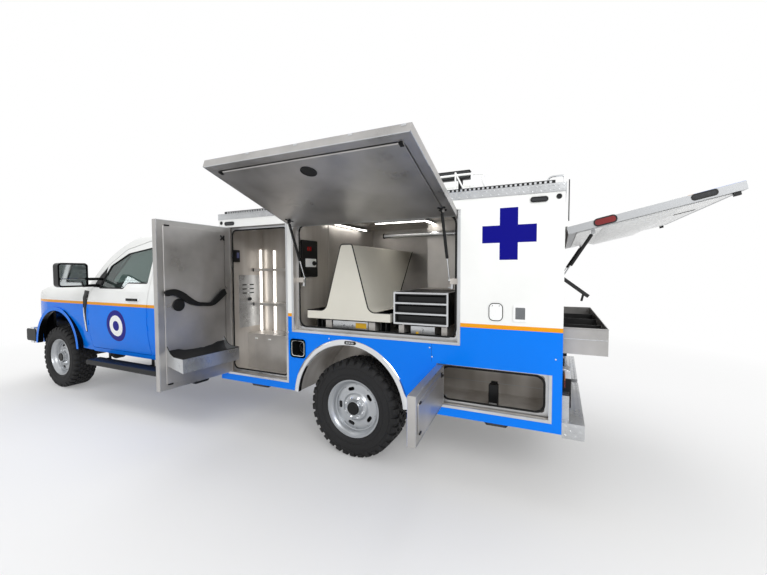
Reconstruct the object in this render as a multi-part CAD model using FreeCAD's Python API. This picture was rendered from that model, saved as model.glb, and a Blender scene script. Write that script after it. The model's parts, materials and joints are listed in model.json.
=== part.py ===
import FreeCAD, Part
import math
import os

V = FreeCAD.Vector

# A crew-cab four-wheel-drive ambulance with a hollow aluminium compartment body.
# Millimetres, X forward, Y to the vehicle's left, Z up from the floor.
# Every piece is worked out from the rear axle and moved to the origin when it is written.
# The origin is on the floor, on the centreline, halfway between the bumper and the open hatch.

# Driving dimensions of the compartment body
body_front_x = 1430
body_rear_x = -1580
body_half_width = 1050
body_bottom_z = 520
body_roof_z = 2100
roof_deck_rear_x = -200
roof_deck_step = 3
trim_top = 70
wall = 42
floor_top_z = 1058
floor_depth = 98
tunnel_top_z = floor_top_z - floor_depth
tunnel_half_width = 480
locker_back_y = 505

# Driving dimensions of the chassis
wheelbase = 4567
front_overhang = 973
tyre_radius = 412
tyre_width = 275
track_front = 1735
track_rear = 1707
steer_pin_inset = 122
rail_outer_y = 432
rail_height = 190
rail_flange = 75
rail_gauge = 9
rail_bottom_z = 590
rail_tail = 180
rail_lead = 603
rail_rear_x = body_rear_x + rail_tail
rail_front_x = wheelbase + rail_lead

# Openings in the body, each as low and high X or Y, then low and high Z
door_sill = 80
door_head = 115
frame_post = 84
corner_post = 94
rear_post = 79
lift_head = 105
lift_bay_x = (-905, 538)
lift_bay_z = (floor_top_z, body_roof_z - lift_head)
front_locker_x = (lift_bay_x[1] + frame_post, body_front_x - corner_post)
front_locker_z = (body_bottom_z + door_sill, body_roof_z - door_head)
rear_locker_x = (body_rear_x + rear_post, -753)
rear_locker_height = 295
rear_locker_z = (front_locker_z[0], front_locker_z[0] + rear_locker_height)
bulkhead = 55
rear_bay_front_x = lift_bay_x[0] - bulkhead
hatch_post = 150
hatch_half_width = body_half_width - hatch_post
hatch_sill_drop = 128
hatch_head = 250
hatch_z = (floor_top_z - hatch_sill_drop, body_roof_z - hatch_head)
hatch_proud = 10
arch_radius = 494
arch_centre_z = 470
arch_inner_y = 560

# Doors of the body: thickness, gap in the frame, angle at which each stands open
door_thick = 47
door_gap = 5
hinge_radius = 6
running_gap = 0.3
lift_open_deg = 108.4
front_locker_open_deg = 92
rear_locker_open_deg = 85.4
hatch_open_deg = 103.4
pan_border = 62
pan_depth = 10
pan_corner = 50

# Cab, tied to the body behind it and the front axle below it
cab_gap = 90
cab_rear_x = body_front_x + cab_gap
cowl_setback = 687
cowl_x = wheelbase - cowl_setback
cab_run = cowl_x - cab_rear_x
cab_sill_z = 560
cab_floor_z = 800
cab_skin = 48
cab_belt_z = 1335
cab_belt_y = 985
cab_bulge_y = 1015
cab_bulge_z = 1000
cab_sill_y = 945
cab_eave_y = 818
cab_eave_z = 1950
cab_shoulder_y = 785
cab_shoulder_z = 2003
cab_roof_y = 700
cab_roof_edge_z = 2030
cab_crown_z = 2062
cowl_z = 1390
door_cut_gap = 6
door_sill_z = 612

# Nose
nose_lead = 608
nose_front_x = wheelbase + nose_lead
bumper_lead = 683
bumper_x = (wheelbase + bumper_lead, wheelbase + front_overhang)

# Slides and trays inside the body
tray_rear_gap = 553
tray_front_gap = 95
tray_side_gap = 70
tray_back_y = -440
tray_lift = 102
tray_base = 70
tray_rise = 557
tray_x = (lift_bay_x[0] + tray_rear_gap, lift_bay_x[1] - tray_front_gap)
tray_y = (tray_back_y, body_half_width - tray_side_gap)
tray_base_z = (floor_top_z + tray_lift, floor_top_z + tray_lift + tray_base)
tray_peak_z = tray_base_z[1] + tray_rise
cabinet_rear_gap = 85
cabinet_tray_gap = 31
cabinet_lift = 97
cabinet_height = 248
cabinet_depth = 550
cabinet_x = (lift_bay_x[0] + cabinet_rear_gap, tray_x[0] - cabinet_tray_gap)
cabinet_z = (floor_top_z + cabinet_lift, floor_top_z + cabinet_lift + cabinet_height)
cabinet_y = (tray_y[1] - cabinet_depth, tray_y[1])
drawer_sill_gap = 70
drawer_height = 180
drawer_side_gap = 80
drawer_reach = 270
drawer_length = 560
drawer_z = (hatch_z[0] + drawer_sill_gap, hatch_z[0] + drawer_sill_gap + drawer_height)
drawer_half_width = hatch_half_width - drawer_side_gap
drawer_out_x = body_rear_x - drawer_reach

# Placing
hatch_length = hatch_z[1] - hatch_z[0]
hatch_reach = (-body_rear_x + hatch_proud
               + hatch_length * math.sin(math.radians(hatch_open_deg)))
bumper_face_x = wheelbase + front_overhang
origin_x = (bumper_face_x - hatch_reach) / 2
overrun = 50
tiny = 0.3

os.makedirs("parts", exist_ok=True)


def save(name, shape):
    shape.translated(V(-origin_x, 0, 0)).exportStep("parts/" + name + ".step")


# Shape helpers

X_AXIS = V(1, 0, 0)
Y_AXIS = V(0, 1, 0)
Z_AXIS = V(0, 0, 1)


def box(xs, ys, zs):
    low = V(min(xs), min(ys), min(zs))
    size = V(max(xs), max(ys), max(zs)) - low
    return Part.makeBox(size.x, size.y, size.z, low)


def flipped(shape):
    return shape.mirror(V(0, 0, 0), V(0, 1, 0))


def both_sides(shape):
    return [shape, flipped(shape)]


def union(shapes):
    first = shapes[0]
    if len(shapes) > 1:
        first = first.multiFuse(shapes[1:])
    return first.removeSplitter()


def group(shapes):
    return Part.makeCompound(shapes)


def minus(shape, tools):
    return shape.cut(tools)


def wire_of(points):
    return Part.makePolygon(points + [points[0]])


def soft_wire(points, radii):
    """A closed wire of straight lines, each corner rounded by its own radius."""
    starts = []
    ends = []
    arcs = []
    for index, corner in enumerate(points):
        back = (points[index - 1] - corner).normalize()
        ahead = (points[(index + 1) % len(points)] - corner).normalize()
        half = back.getAngle(ahead) / 2
        radius = radii[index]
        reach = radius / math.tan(half)
        starts.append(corner + back * reach)
        ends.append(corner + ahead * reach)
        if radius:
            middle = corner + (back + ahead).normalize() * (radius / math.sin(half) - radius)
            arcs.append(Part.Arc(starts[-1], middle, ends[-1]).toShape())
    lines = [Part.makeLine(ends[index - 1], starts[index]) for index in range(len(points))]
    return Part.Wire(Part.__sortEdges__(lines + arcs))


def outline_face(points, place):
    """A flat face from an outline whose points may each carry a corner radius."""
    corners = [place(point[0], point[1]) for point in points]
    radii = [point[2] if len(point) > 2 else 0 for point in points]
    if any(radii):
        return Part.Face(soft_wire(corners, radii))
    return Part.Face(wire_of(corners))


def prism_xz(points, y_low, y_high):
    """An outline in X and Z, carried from one Y to another."""
    face = outline_face(points, lambda x, z: V(x, y_low, z))
    return face.extrude(V(0, y_high - y_low, 0))


def prism_yz(points, x_low, x_high):
    face = outline_face(points, lambda y, z: V(x_low, y, z))
    return face.extrude(V(x_high - x_low, 0, 0))


def prism_xy(points, z_low, z_high):
    face = outline_face(points, lambda x, y: V(x, y, z_low))
    return face.extrude(V(0, 0, z_high - z_low))


def softened(points, radius):
    """The same outline with one radius on every corner."""
    return [(point[0], point[1], radius) for point in points]


def drum(centre, axis, radius, length):
    """A cylinder of a given length, centred on a point."""
    start = centre - axis * (length / 2)
    return Part.makeCylinder(radius, length, start, axis)


def rod(start, end, radius):
    run = end - start
    return Part.makeCylinder(radius, run.Length, start, run)


def rounded_box(xs, ys, zs, radius, axis):
    """A box whose four edges along one axis are rounded."""
    solid = box(xs, ys, zs)
    edges = [e for e in solid.Edges
             if abs(e.tangentAt(e.FirstParameter).dot(axis)) > 1 / 2]
    return solid.makeFillet(radius, edges)


# Wheels: a tyre with staggered lugs, and a slotted steel rim

bead_radius = 233
rim_half_width = 112
lug_height = 11
lug_count = 20
lug_fill_share = 0.62
centre_groove = 9
shoulder_y = 122
shoulder_drop = 17
disc_offset = 72
disc_thick = 9
hub_radius = 62
hub_bore = 63
slot_count = 5
slot_circle = 150
slot_width = 30
slot_length = 58
cap_radius = 60
cap_length = 46
rim_gauge = 9
tread_lap = 1
rim_lip = 12
rim_well = 34
disc_dish = 24
hub_flat = 98
wheel_z = tyre_radius * math.cos(math.pi / lug_count * (1 - lug_fill_share))


def tyre_body():
    """The carcass: two bulged sidewalls and the belt that the lugs stand on."""
    half = tyre_width / 2
    tread = tyre_radius - lug_height - shoulder_drop
    width_shares = [0.66, 0.80, 1.0, 0.95]
    height_shares = [0, 0.08, 0.52, 1.0]
    side = [(half * w, bead_radius + (tread - bead_radius) * h)
            for w, h in zip(width_shares, height_shares)]
    outline = [V(0, y, r) for y, r in side] + [V(0, -y, r) for y, r in reversed(side)]
    return Part.Face(wire_of(outline)).revolve(V(0, 0, 0), Y_AXIS, 360)


def lug_ring(y_low, y_high, tip, phase):
    """A ring of tread blocks, with a valley between each block and the next."""
    pitch = 2 * math.pi / lug_count
    valley = tip - lug_height
    half = pitch * lug_fill_share / 2
    points = []
    for index in range(lug_count):
        turn = (index + phase) * pitch
        for offset, radius in ((-half, valley), (-half, tip), (half, tip), (half, valley)):
            points.append(V(radius * math.sin(turn + offset), y_low,
                            -radius * math.cos(turn + offset)))
    face = Part.Face(wire_of(points))
    return face.extrude(V(0, y_high - y_low, 0))


def tyre_shape():
    tip = tyre_radius
    left = lug_ring(centre_groove / 2, shoulder_y, tip, 0)
    right = flipped(lug_ring(centre_groove / 2, shoulder_y, tip, 1 / 2))
    groove = drum(V(0, 0, 0), Y_AXIS, tip - lug_height - tread_lap, centre_groove)
    core = drum(V(0, 0, 0), Y_AXIS, tip - lug_height - shoulder_drop - tread_lap, tyre_width)
    treads = [shape.cut(core) for shape in (left, right, groove)]
    return union([tyre_body()] + treads)


def ring_of(outline):
    """A solid of revolution about Y, from an outline in Y and radius."""
    return Part.Face(wire_of([V(0, y, r) for y, r in outline])).revolve(
        V(0, 0, 0), Y_AXIS, 360)


def rim_shape():
    half = rim_half_width
    well = rim_well
    seat = bead_radius - tiny
    low = bead_radius - well
    barrel = ring_of([(-half, bead_radius + rim_lip), (-half + rim_gauge, seat),
                      (-half + well, seat), (-half + 2 * well, low), (half - well, low),
                      (half - rim_gauge, seat), (half, bead_radius + rim_lip),
                      (half, seat - rim_gauge), (half - well, low - rim_gauge),
                      (-half, low - rim_gauge), (-half, seat)])
    dish = disc_dish
    disc = ring_of([(disc_offset - disc_thick, hub_bore), (disc_offset - disc_thick, hub_flat),
                    (disc_offset - dish - disc_thick, hub_flat + dish),
                    (disc_offset - dish - disc_thick, low - rim_gauge / 2),
                    (disc_offset - dish, low - rim_gauge / 2),
                    (disc_offset - dish, hub_flat + dish + disc_thick),
                    (disc_offset, hub_flat + disc_thick), (disc_offset, hub_bore)])
    slots = []
    for index in range(slot_count):
        slot = rounded_box((-slot_length / 2, slot_length / 2), (-half, half),
                           (slot_circle - slot_width / 2, slot_circle + slot_width / 2),
                           slot_width / 3, Y_AXIS)
        slots.append(slot.rotate(V(0, 0, 0), Y_AXIS, index * 360 / slot_count))
    end = disc_offset + cap_length
    cap = ring_of([(disc_offset - disc_thick / 2, hub_bore + disc_thick),
                   (end, cap_radius), (end, 0), (end - disc_thick, 0),
                   (end - disc_thick, cap_radius - disc_thick),
                   (disc_offset - disc_thick / 2, hub_bore)])
    return union([barrel, minus(disc, slots), cap])


def wheel_centre(x, track, side):
    return V(x, side * track / 2, wheel_z)


def place_wheel(shape, x, track, side):
    shape = shape if side > 0 else flipped(shape)
    return shape.translated(wheel_centre(x, track, side))


def wheels():
    tyre = tyre_shape()
    rim = rim_shape()
    for end, x, track in (("rear", 0, track_rear), ("front", wheelbase, track_front)):
        for word, side in (("left", 1), ("right", -1)):
            save("tyre_%s_%s" % (end, word), place_wheel(tyre, x, track, side))
            save("rim_%s_%s" % (end, word), place_wheel(rim, x, track, side))


# Chassis: rails, axles, springs, engine and the rest of the underside

cross_depth = 90
cross_x_shares = [0, 0.11, 0.27, 0.42, 0.56, 0.70, 0.985]
mount_x_shares = [0.08, 0.36, 0.64, 0.92]
mount_radius = 38
receiver_half = 38
receiver_bore = 26
receiver_reach = 70
axle_tube_radius = 48
axle_case_radius = 165
axle_case_width = 180
front_case_y = 250
brake_radius = 178
brake_thick = 60
rear_hub_length = 110
leaf_half = 760
leaf_thick = 44
leaf_width = 76
coil_radius = 62
arm_radius = 26
arm_back = 780
ear_radius = 34
ear_height = 36
ear_offset = 92
steer_pin_radius = 30
front_hub_radius = 61.5
hub_nose = 34


def chassis_frame():
    top = rail_bottom_z + rail_height
    inner_y = rail_outer_y - rail_flange
    web = box((rail_rear_x, rail_front_x), (rail_outer_y - rail_gauge, rail_outer_y),
              (rail_bottom_z, top))
    low = box((rail_rear_x, rail_front_x), (inner_y, rail_outer_y),
              (rail_bottom_z, rail_bottom_z + rail_gauge))
    high = box((rail_rear_x, rail_front_x), (inner_y, rail_outer_y), (top - rail_gauge, top))
    sub_width = rail_flange
    riser = box((body_rear_x + wall, body_front_x), (rail_outer_y - sub_width, rail_outer_y),
                (top, tunnel_top_z - tiny))
    pieces = []
    for shape in (web, low, high, riser):
        pieces.extend(both_sides(shape))
    run = rail_front_x - rail_rear_x - cross_depth
    inset = rail_gauge / 2
    for share in cross_x_shares:
        x = rail_rear_x + run * share
        pieces.append(box((x, x + cross_depth), (-rail_outer_y + inset, rail_outer_y - inset),
                          (top - cross_depth, top - rail_gauge / 2)))
    for share in mount_x_shares:
        x = cab_rear_x + cab_run * share
        post = Part.makeCylinder(mount_radius, cab_floor_z - top - tiny + rail_gauge / 2,
                                 V(x, rail_outer_y - mount_radius, top - rail_gauge / 2),
                                 Z_AXIS)
        pieces.extend(both_sides(post))
    receiver_x = (body_rear_x - receiver_reach, rail_rear_x + cross_depth)
    receiver_z = rail_bottom_z + rail_height / 3
    tube = box(receiver_x, (-receiver_half, receiver_half),
               (receiver_z - receiver_half, receiver_z + receiver_half))
    hole = box((receiver_x[0] - overrun, rail_rear_x), (-receiver_bore, receiver_bore),
               (receiver_z - receiver_bore, receiver_z + receiver_bore))
    hanger = box((rail_rear_x, rail_rear_x + cross_depth),
                 (-rail_outer_y + inset, rail_outer_y - inset),
                 (receiver_z - receiver_half, top - rail_gauge / 2))
    save("chassis_frame", union(pieces + [hanger, tube]).cut(hole))


def axle_beam(x, track, case_y):
    """A tube with a round case, with brakes at its ends where the wheels don't steer."""
    reach = track / 2 - brake_thick
    tube = drum(V(x, 0, wheel_z), Y_AXIS, axle_tube_radius, 2 * reach)
    case = drum(V(x, case_y, wheel_z), Y_AXIS, axle_case_radius, axle_case_width)
    case = case.makeChamfer(axle_case_width / 4, case.Edges[0:1] + case.Edges[2:3])
    return [tube, case]


def rear_axle():
    pieces = axle_beam(0, track_rear, 0)
    face = track_rear / 2 + disc_offset - disc_thick - tiny
    middle = V(0, face - rear_hub_length / 2, wheel_z)
    hub = drum(middle, Y_AXIS, hub_radius + hub_radius / 4, rear_hub_length)
    pilot = rod(middle, V(0, face + disc_thick / 2, wheel_z), hub_radius)
    disc = drum(V(0, face - rear_hub_length, wheel_z), Y_AXIS, brake_radius, brake_thick)
    for shape in (hub, pilot, disc):
        pieces.extend(both_sides(shape))
    leaf_y = rail_outer_y - leaf_width / 2
    seat_z = wheel_z + axle_tube_radius - leaf_thick / 4
    end_z = rail_bottom_z - leaf_thick - tiny
    lower = Part.Arc(V(-leaf_half, leaf_y, end_z), V(0, leaf_y, seat_z),
                     V(leaf_half, leaf_y, end_z)).toShape()
    upper = Part.Arc(V(leaf_half, leaf_y, end_z + leaf_thick),
                     V(0, leaf_y, seat_z + leaf_thick),
                     V(-leaf_half, leaf_y, end_z + leaf_thick)).toShape()
    front = Part.makeLine(V(leaf_half, leaf_y, end_z), V(leaf_half, leaf_y, end_z + leaf_thick))
    back = Part.makeLine(V(-leaf_half, leaf_y, end_z + leaf_thick), V(-leaf_half, leaf_y, end_z))
    leaf = Part.Face(Part.Wire([lower, front, upper, back])).extrude(V(0, leaf_width / 2, 0))
    block = box((-leaf_width, leaf_width), (leaf_y, leaf_y + leaf_width / 2),
                (wheel_z, seat_z + leaf_thick + leaf_thick / 2))
    pieces.extend(both_sides(leaf))
    pieces.extend(both_sides(block))
    save("rear_axle", union(pieces))


def front_axle():
    pin_y = track_front / 2 - steer_pin_inset
    post_y = pin_y - ear_radius * 3 / 2
    pieces = axle_beam(wheelbase, 2 * (post_y + brake_thick), front_case_y)
    coil_y = rail_outer_y - coil_radius / 2
    coil = rod(V(wheelbase, coil_y, wheel_z), V(wheelbase, coil_y, rail_bottom_z - tiny),
               coil_radius)
    arm = rod(V(wheelbase, coil_y, wheel_z - axle_tube_radius / 2),
              V(wheelbase - arm_back, coil_y, rail_bottom_z - arm_radius), arm_radius)
    hang = box((wheelbase - arm_back - arm_radius, wheelbase - arm_back + arm_radius),
               (coil_y - arm_radius, coil_y + arm_radius),
               (rail_bottom_z - 2 * arm_radius, rail_bottom_z - tiny))
    for shape in (coil, arm, hang):
        pieces.extend(both_sides(shape))
    for z in (wheel_z + ear_offset, wheel_z - ear_offset):
        ear = drum(V(wheelbase, pin_y, z), Z_AXIS, ear_radius, ear_height)
        link = box((wheelbase - ear_radius / 2, wheelbase + ear_radius / 2),
                   (pin_y - ear_radius * 2, pin_y), (z - ear_height / 2, z + ear_height / 2))
        post = box((wheelbase - ear_radius / 2, wheelbase + ear_radius / 2),
                   (pin_y - ear_radius * 2, post_y), (wheel_z, z))
        pieces.extend(both_sides(union([ear, link, post])))
    save("front_axle", union(pieces))


def knuckle(side):
    """The steered hub carrier: an upright between the axle's two ears, and the hub."""
    pin_y = track_front / 2 - steer_pin_inset
    upright_height = 2 * (ear_offset - ear_height / 2) - 2 * tiny
    upright = drum(V(wheelbase, pin_y, wheel_z), Z_AXIS, steer_pin_radius, upright_height)
    face = track_front / 2 + disc_offset - disc_thick - tiny
    hub = rod(V(wheelbase, pin_y, wheel_z), V(wheelbase, face, wheel_z), front_hub_radius)
    pilot = rod(V(wheelbase, face - hub_nose, wheel_z),
                V(wheelbase, face + disc_thick / 2, wheel_z), hub_radius)
    disc = drum(V(wheelbase, face - hub_radius - hub_nose, wheel_z), Y_AXIS, brake_radius,
                brake_thick / 2)
    shape = union([upright, hub, pilot, disc])
    return shape if side > 0 else flipped(shape)

# Cab: outer and inner forms, from one side outline and one cross-section

firewall_lead = 60
cab_front_x = cowl_x + firewall_lead
roof_rear_radius = 70
glass_inset = 14
glass_thick = 5
pillar_x_shares = [0, 0.071, 0.136, 0.254, 0.35, 0.50]
pillar_z_shares = [0, 0.316, 0.536, 0.770, 0.885, 1.0]


def cross_section(inset, low_z, x_low, x_high):
    """The cab's section across the truck, inset all round, carried along X."""
    sill = V(x_low, cab_sill_y - inset, low_z)
    bulge = V(x_low, cab_bulge_y - inset, cab_bulge_z)
    belt = V(x_low, cab_belt_y - inset, cab_belt_z)
    eave = V(x_low, cab_eave_y - inset, cab_eave_z - inset / 2)
    shoulder = V(x_low, cab_shoulder_y - inset, cab_shoulder_z - inset)
    brow = V(x_low, cab_roof_y - inset / 2, cab_roof_edge_z - inset)
    crown = V(x_low, 0, cab_crown_z - inset)
    right_sill, right_bulge, right_belt, right_eave, right_shoulder, right_brow = [
        V(p.x, -p.y, p.z) for p in (sill, bulge, belt, eave, shoulder, brow)]
    edges = [Part.makeLine(right_sill, sill), Part.Arc(sill, bulge, belt).toShape(),
             Part.makeLine(belt, eave), Part.Arc(eave, shoulder, brow).toShape(),
             Part.Arc(brow, crown, right_brow).toShape(),
             Part.Arc(right_brow, right_shoulder, right_eave).toShape(),
             Part.makeLine(right_eave, right_belt),
             Part.Arc(right_belt, right_bulge, right_sill).toShape()]
    return Part.Face(Part.Wire(edges)).extrude(V(x_high - x_low, 0, 0))


def pillar_point(share_index, inset):
    rise = cab_crown_z - cab_belt_z
    return (cowl_x - inset - cab_run * pillar_x_shares[share_index],
            cab_belt_z - inset + rise * pillar_z_shares[share_index])


def cab_side(inset):
    """The cab seen from the side: tail, roof, one smooth pillar line and cowl."""
    half = cab_bulge_y + overrun
    pillar = [V(x, -half, z) for x, z in
              (pillar_point(index, inset) for index in range(len(pillar_x_shares)))]
    curve = Part.BSplineCurve()
    curve.interpolate(pillar)
    low = cab_sill_z - overrun
    top = cab_crown_z - inset
    rear = cab_rear_x + inset
    front = cab_front_x - inset
    front_z = cowl_z - inset - cab_skin
    turn = V(rear + roof_rear_radius, -half, top - roof_rear_radius)
    side_start = V(rear, -half, turn.z)
    roof_start = V(turn.x, -half, top)
    reach = roof_rear_radius * math.sqrt(1 / 2)
    corner = Part.Arc(side_start, turn + V(-reach, 0, reach), roof_start).toShape()
    edges = [Part.makeLine(V(rear, -half, low), side_start), corner,
             Part.makeLine(roof_start, pillar[-1]), curve.toShape(),
             Part.makeLine(pillar[0], V(front, -half, front_z)),
             Part.makeLine(V(front, -half, front_z), V(front, -half, low)),
             Part.makeLine(V(front, -half, low), V(rear, -half, low))]
    face = Part.Face(Part.Wire(Part.__sortEdges__(edges)))
    return face.extrude(V(0, 2 * half, 0))


def cab_form(inset, low_z):
    section = cross_section(inset, low_z, cab_rear_x, cab_front_x)
    return section.common(cab_side(inset))


# Doors of the cab, seen from the side

door_split_share = 0.4754
front_door_setback = 75
rear_door_lead = 180
door_split_gap = 12
split_x = cab_rear_x + cab_run * door_split_share
front_door_x = (split_x, cowl_x - front_door_setback)
rear_door_x = (cab_rear_x + rear_door_lead, split_x - door_split_gap)
door_pillar_inset = 58
door_corner = 28
pillar_corner = 60
window_frame = 46
window_sill = 92
window_dip = 66
window_kink_share = 0.36
window_corner = 22
cab_door_hinge_y = cab_bulge_y
cab_door_open_deg = 65
cab_hinge_zs = (900, 1050)
cab_hinge_length = 60
door_top = cab_eave_z - window_frame / 2
window_top = cab_eave_z - 2 * window_frame


def front_door_outline(gap):
    low, high = front_door_x
    p0, p1, p2, p3 = [pillar_point(index, door_pillar_inset) for index in range(4)]
    return [(low + gap, door_sill_z + gap, door_corner),
            (high - gap, door_sill_z + gap, door_corner), (high - gap, p0[1] - gap),
            (p1[0] - gap, p1[1] - gap / 2), (p2[0] - gap, p2[1] - gap, pillar_corner),
            (p3[0] - gap, min(p3[1], door_top) - gap, pillar_corner),
            (low + 3 * door_pillar_inset, door_top - gap, pillar_corner),
            (low + gap, door_top - gap)]


def rear_door_outline(gap):
    low, high = rear_door_x
    return softened([(low + gap, door_sill_z + gap), (high - gap, door_sill_z + gap),
                     (high - gap, door_top - gap), (low + gap, door_top - gap)], door_corner)


def window_outline(door):
    """The glass opening of a door, inside its own frame."""
    sill = cab_belt_z + window_sill
    if door == "rear":
        low, high = rear_door_x
        return softened([(low + 2 * window_frame, sill), (high - window_frame, sill),
                         (high - window_frame, window_top),
                         (low + 2 * window_frame, window_top)], window_corner)
    low, high = front_door_x
    inset = door_pillar_inset + window_frame / 2
    p1 = pillar_point(1, inset)
    p2 = pillar_point(2, inset)
    p3 = pillar_point(3, inset + window_frame / 2)
    kink = low + (high - low) * window_kink_share
    return softened([(low + window_frame, sill), (kink, sill),
                     (kink + window_dip, sill - window_dip), (p1[0], sill - window_dip), p2,
                     (p3[0], min(p3[1], window_top)),
                     (low + window_frame, window_top)], window_corner)


def side_prism(outline):
    return prism_xz(outline, cab_eave_y / 2, cab_bulge_y + overrun)


def cab_hinges(door_front_x, radius):
    """Two short barrels on the shut line at a door's front edge."""
    return [Part.makeCylinder(radius, cab_hinge_length,
                              V(door_front_x, cab_door_hinge_y, z), Z_AXIS)
            for z in cab_hinge_zs]


# Pull handles and mirrors, each in one piece with its door

handle_setbacks = {"front": 148, "rear": 90}
handle_length = 195
handle_z = (1230, 1260)
handle_thick = 17
handle_corner = 7
handle_foot = 22
mirror_setback = 230
mirror_depth = 100
mirror_stand_off = 135
mirror_width = 300
mirror_rise = 55
mirror_height = 280
mirror_corner = 40
mirror_border = 18
mirror_recess = 8
mirror_arm_radius = 17
mirror_arm_setbacks = (268, 225)
mirror_arm_rises = (145, 65)
mirror_arm_insets = (65, 43)


def door_handle(word, door_x):
    """A straight pull on two feet, clear of the skin between them."""
    low = door_x[0] + handle_setbacks[word]
    high = low + handle_length
    bar = rounded_box((low, high), (cab_bulge_y + tiny, cab_bulge_y + handle_thick), handle_z,
                      handle_corner, X_AXIS)
    feet = [box(xs, (cab_belt_y - handle_corner, cab_bulge_y + handle_thick / 2),
                (handle_z[0] + handle_corner, handle_z[1] - handle_corner))
            for xs in ((low, low + handle_foot), (high - handle_foot, high))]
    return [bar] + feet


def door_mirror():
    """A tall mirror head on two arms from the front corner of the window frame."""
    xs = (cowl_x - mirror_setback - mirror_depth, cowl_x - mirror_setback)
    ys = (cab_belt_y + mirror_stand_off, cab_belt_y + mirror_stand_off + mirror_width)
    zs = (cab_belt_z + mirror_rise, cab_belt_z + mirror_rise + mirror_height)
    head = rounded_box(xs, ys, zs, mirror_corner, X_AXIS)
    recess = rounded_box((xs[0] - overrun, xs[0] + mirror_recess),
                         (ys[0] + mirror_border, ys[1] - mirror_border),
                         (zs[0] + mirror_border, zs[1] - mirror_border),
                         mirror_corner - mirror_border, X_AXIS)
    pieces = [head.cut(recess)]
    for setback, rise, inset in zip(mirror_arm_setbacks, mirror_arm_rises, mirror_arm_insets):
        start = V(cowl_x - setback, cab_belt_y - inset, cab_belt_z + rise)
        end = V(min(start.x, xs[1] - mirror_arm_radius), ys[0] + mirror_arm_radius, start.z)
        pieces.append(rod(start, end, mirror_arm_radius))
    return pieces


screen_reach = 1000
screen_sill = 80
screen_side = 70
screen_head = 30
screen_corner = 60
back_window_half = 560
back_window_border = 90
leaf_depth = 24


def cab_shell_form():
    inner = cab_form(cab_skin, cab_floor_z + cab_skin)
    under = box((cab_rear_x - overrun, cab_front_x + overrun),
                (-cab_sill_y + cab_skin, cab_sill_y - cab_skin),
                (cab_sill_z - 2 * overrun, cab_floor_z))
    return cab_form(0, cab_sill_z).cut([inner, under])


def cab_parts():
    shell = cab_shell_form()
    skin_layer = cab_form(0, cab_sill_z).cut(cab_form(cab_skin, cab_sill_z - overrun))
    clear_inside = cab_form(cab_skin + door_cut_gap, cab_sill_z - overrun)
    pane = cab_form(glass_inset, cab_sill_z).cut(
        cab_form(glass_inset + glass_thick, cab_sill_z))
    cuts = []
    posts = []
    for word, outline, door_x in (("front", front_door_outline, front_door_x),
                                  ("rear", rear_door_outline, rear_door_x)):
        high = door_x[1]
        window = side_prism(window_outline(word))
        panel = skin_layer.common(side_prism(outline(door_cut_gap / 2)))
        panel = panel.cut([window] + cab_hinges(high, hinge_radius + running_gap))
        added = door_handle(word, door_x) + (door_mirror() if word == "front" else [])
        panel = union([panel] + added)
        glass = pane.common(window)
        save("cab_door_%s_left" % word, panel)
        save("cab_door_%s_right" % word, flipped(panel))
        save("glass_%s_left" % word, glass)
        save("glass_%s_right" % word, flipped(glass))
        cuts.extend(both_sides(side_prism(outline(-door_cut_gap / 2)).cut(clear_inside)))
        for post in cab_hinges(high, hinge_radius):
            bounds = post.BoundBox
            leaf = box((high, high + 3 / 2 * hinge_radius),
                       (cab_belt_y - leaf_depth, cab_door_hinge_y), (bounds.ZMin, bounds.ZMax))
            posts.extend(both_sides(post))
            posts.extend(both_sides(leaf))
    screen_half = cab_eave_y - screen_side
    screen = rounded_box((cowl_x - screen_reach, cab_front_x + overrun),
                         (-screen_half, screen_half),
                         (cab_belt_z + screen_sill, cab_eave_z - screen_head),
                         screen_corner, X_AXIS)
    back = rounded_box((cab_rear_x - overrun, cab_rear_x + cab_skin + overrun),
                       (-back_window_half, back_window_half),
                       (cab_belt_z + back_window_border, cab_eave_z - back_window_border),
                       screen_corner, X_AXIS)
    nose_layer = nose_form(-nose_seam, cab_sill_z).cut(
        nose_form(nose_skin + nose_seam, cab_sill_z - overrun))
    nose_layer = nose_layer.translated(V(-tiny, 0, 0))
    save("cab_shell", union([shell.cut(cuts + [screen, back, nose_layer])] + posts))
    save("cab_glass", group([pane.common(screen), pane.common(back)]))


# Nose: fenders and hood from one form, with a raised dome in the middle of the hood

fender_y = 1008
fender_setback = 15
fender_rear_x = front_door_x[1] + fender_setback
fender_shoulder_z = 1233
fender_bow_y = 977
fender_bow_z = 1320
fender_crest_y = 905
fender_crest_z = 1390
fender_low_z = cab_sill_z + fender_setback
nose_skin = 34
nose_seam = 2
nose_tip_z = 1205
nose_corner_lead = 233
nose_corner_x = wheelbase + nose_corner_lead
nose_corner_y = 925
nose_bow_y = 982
nose_x_shares = [0.525, 0.71, 0.927]
nose_drop_shares = [-0.03, 0.163, 0.735]
cowl_top_z = 1420
dome_half_widths = (500, 560)
dome_rise = 30
dome_x_shares = [0.06, 0.16, 0.66, 0.80]
front_arch_radius = 490
front_arch_z = 560
flare_width = 46
flare_proud = 16
flare_depth = 60
hood_rear_gap = 70
hood_half_width = 800
hood_edge_z = 1215
hood_open_deg = 48
hood_hinge_y = 560
hood_rear_x = cowl_x + hood_rear_gap
hood_hinge = V(hood_rear_x + door_cut_gap / 2, 0, cowl_top_z)
mouth_half = 780
mouth_top_z = 1190


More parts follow.
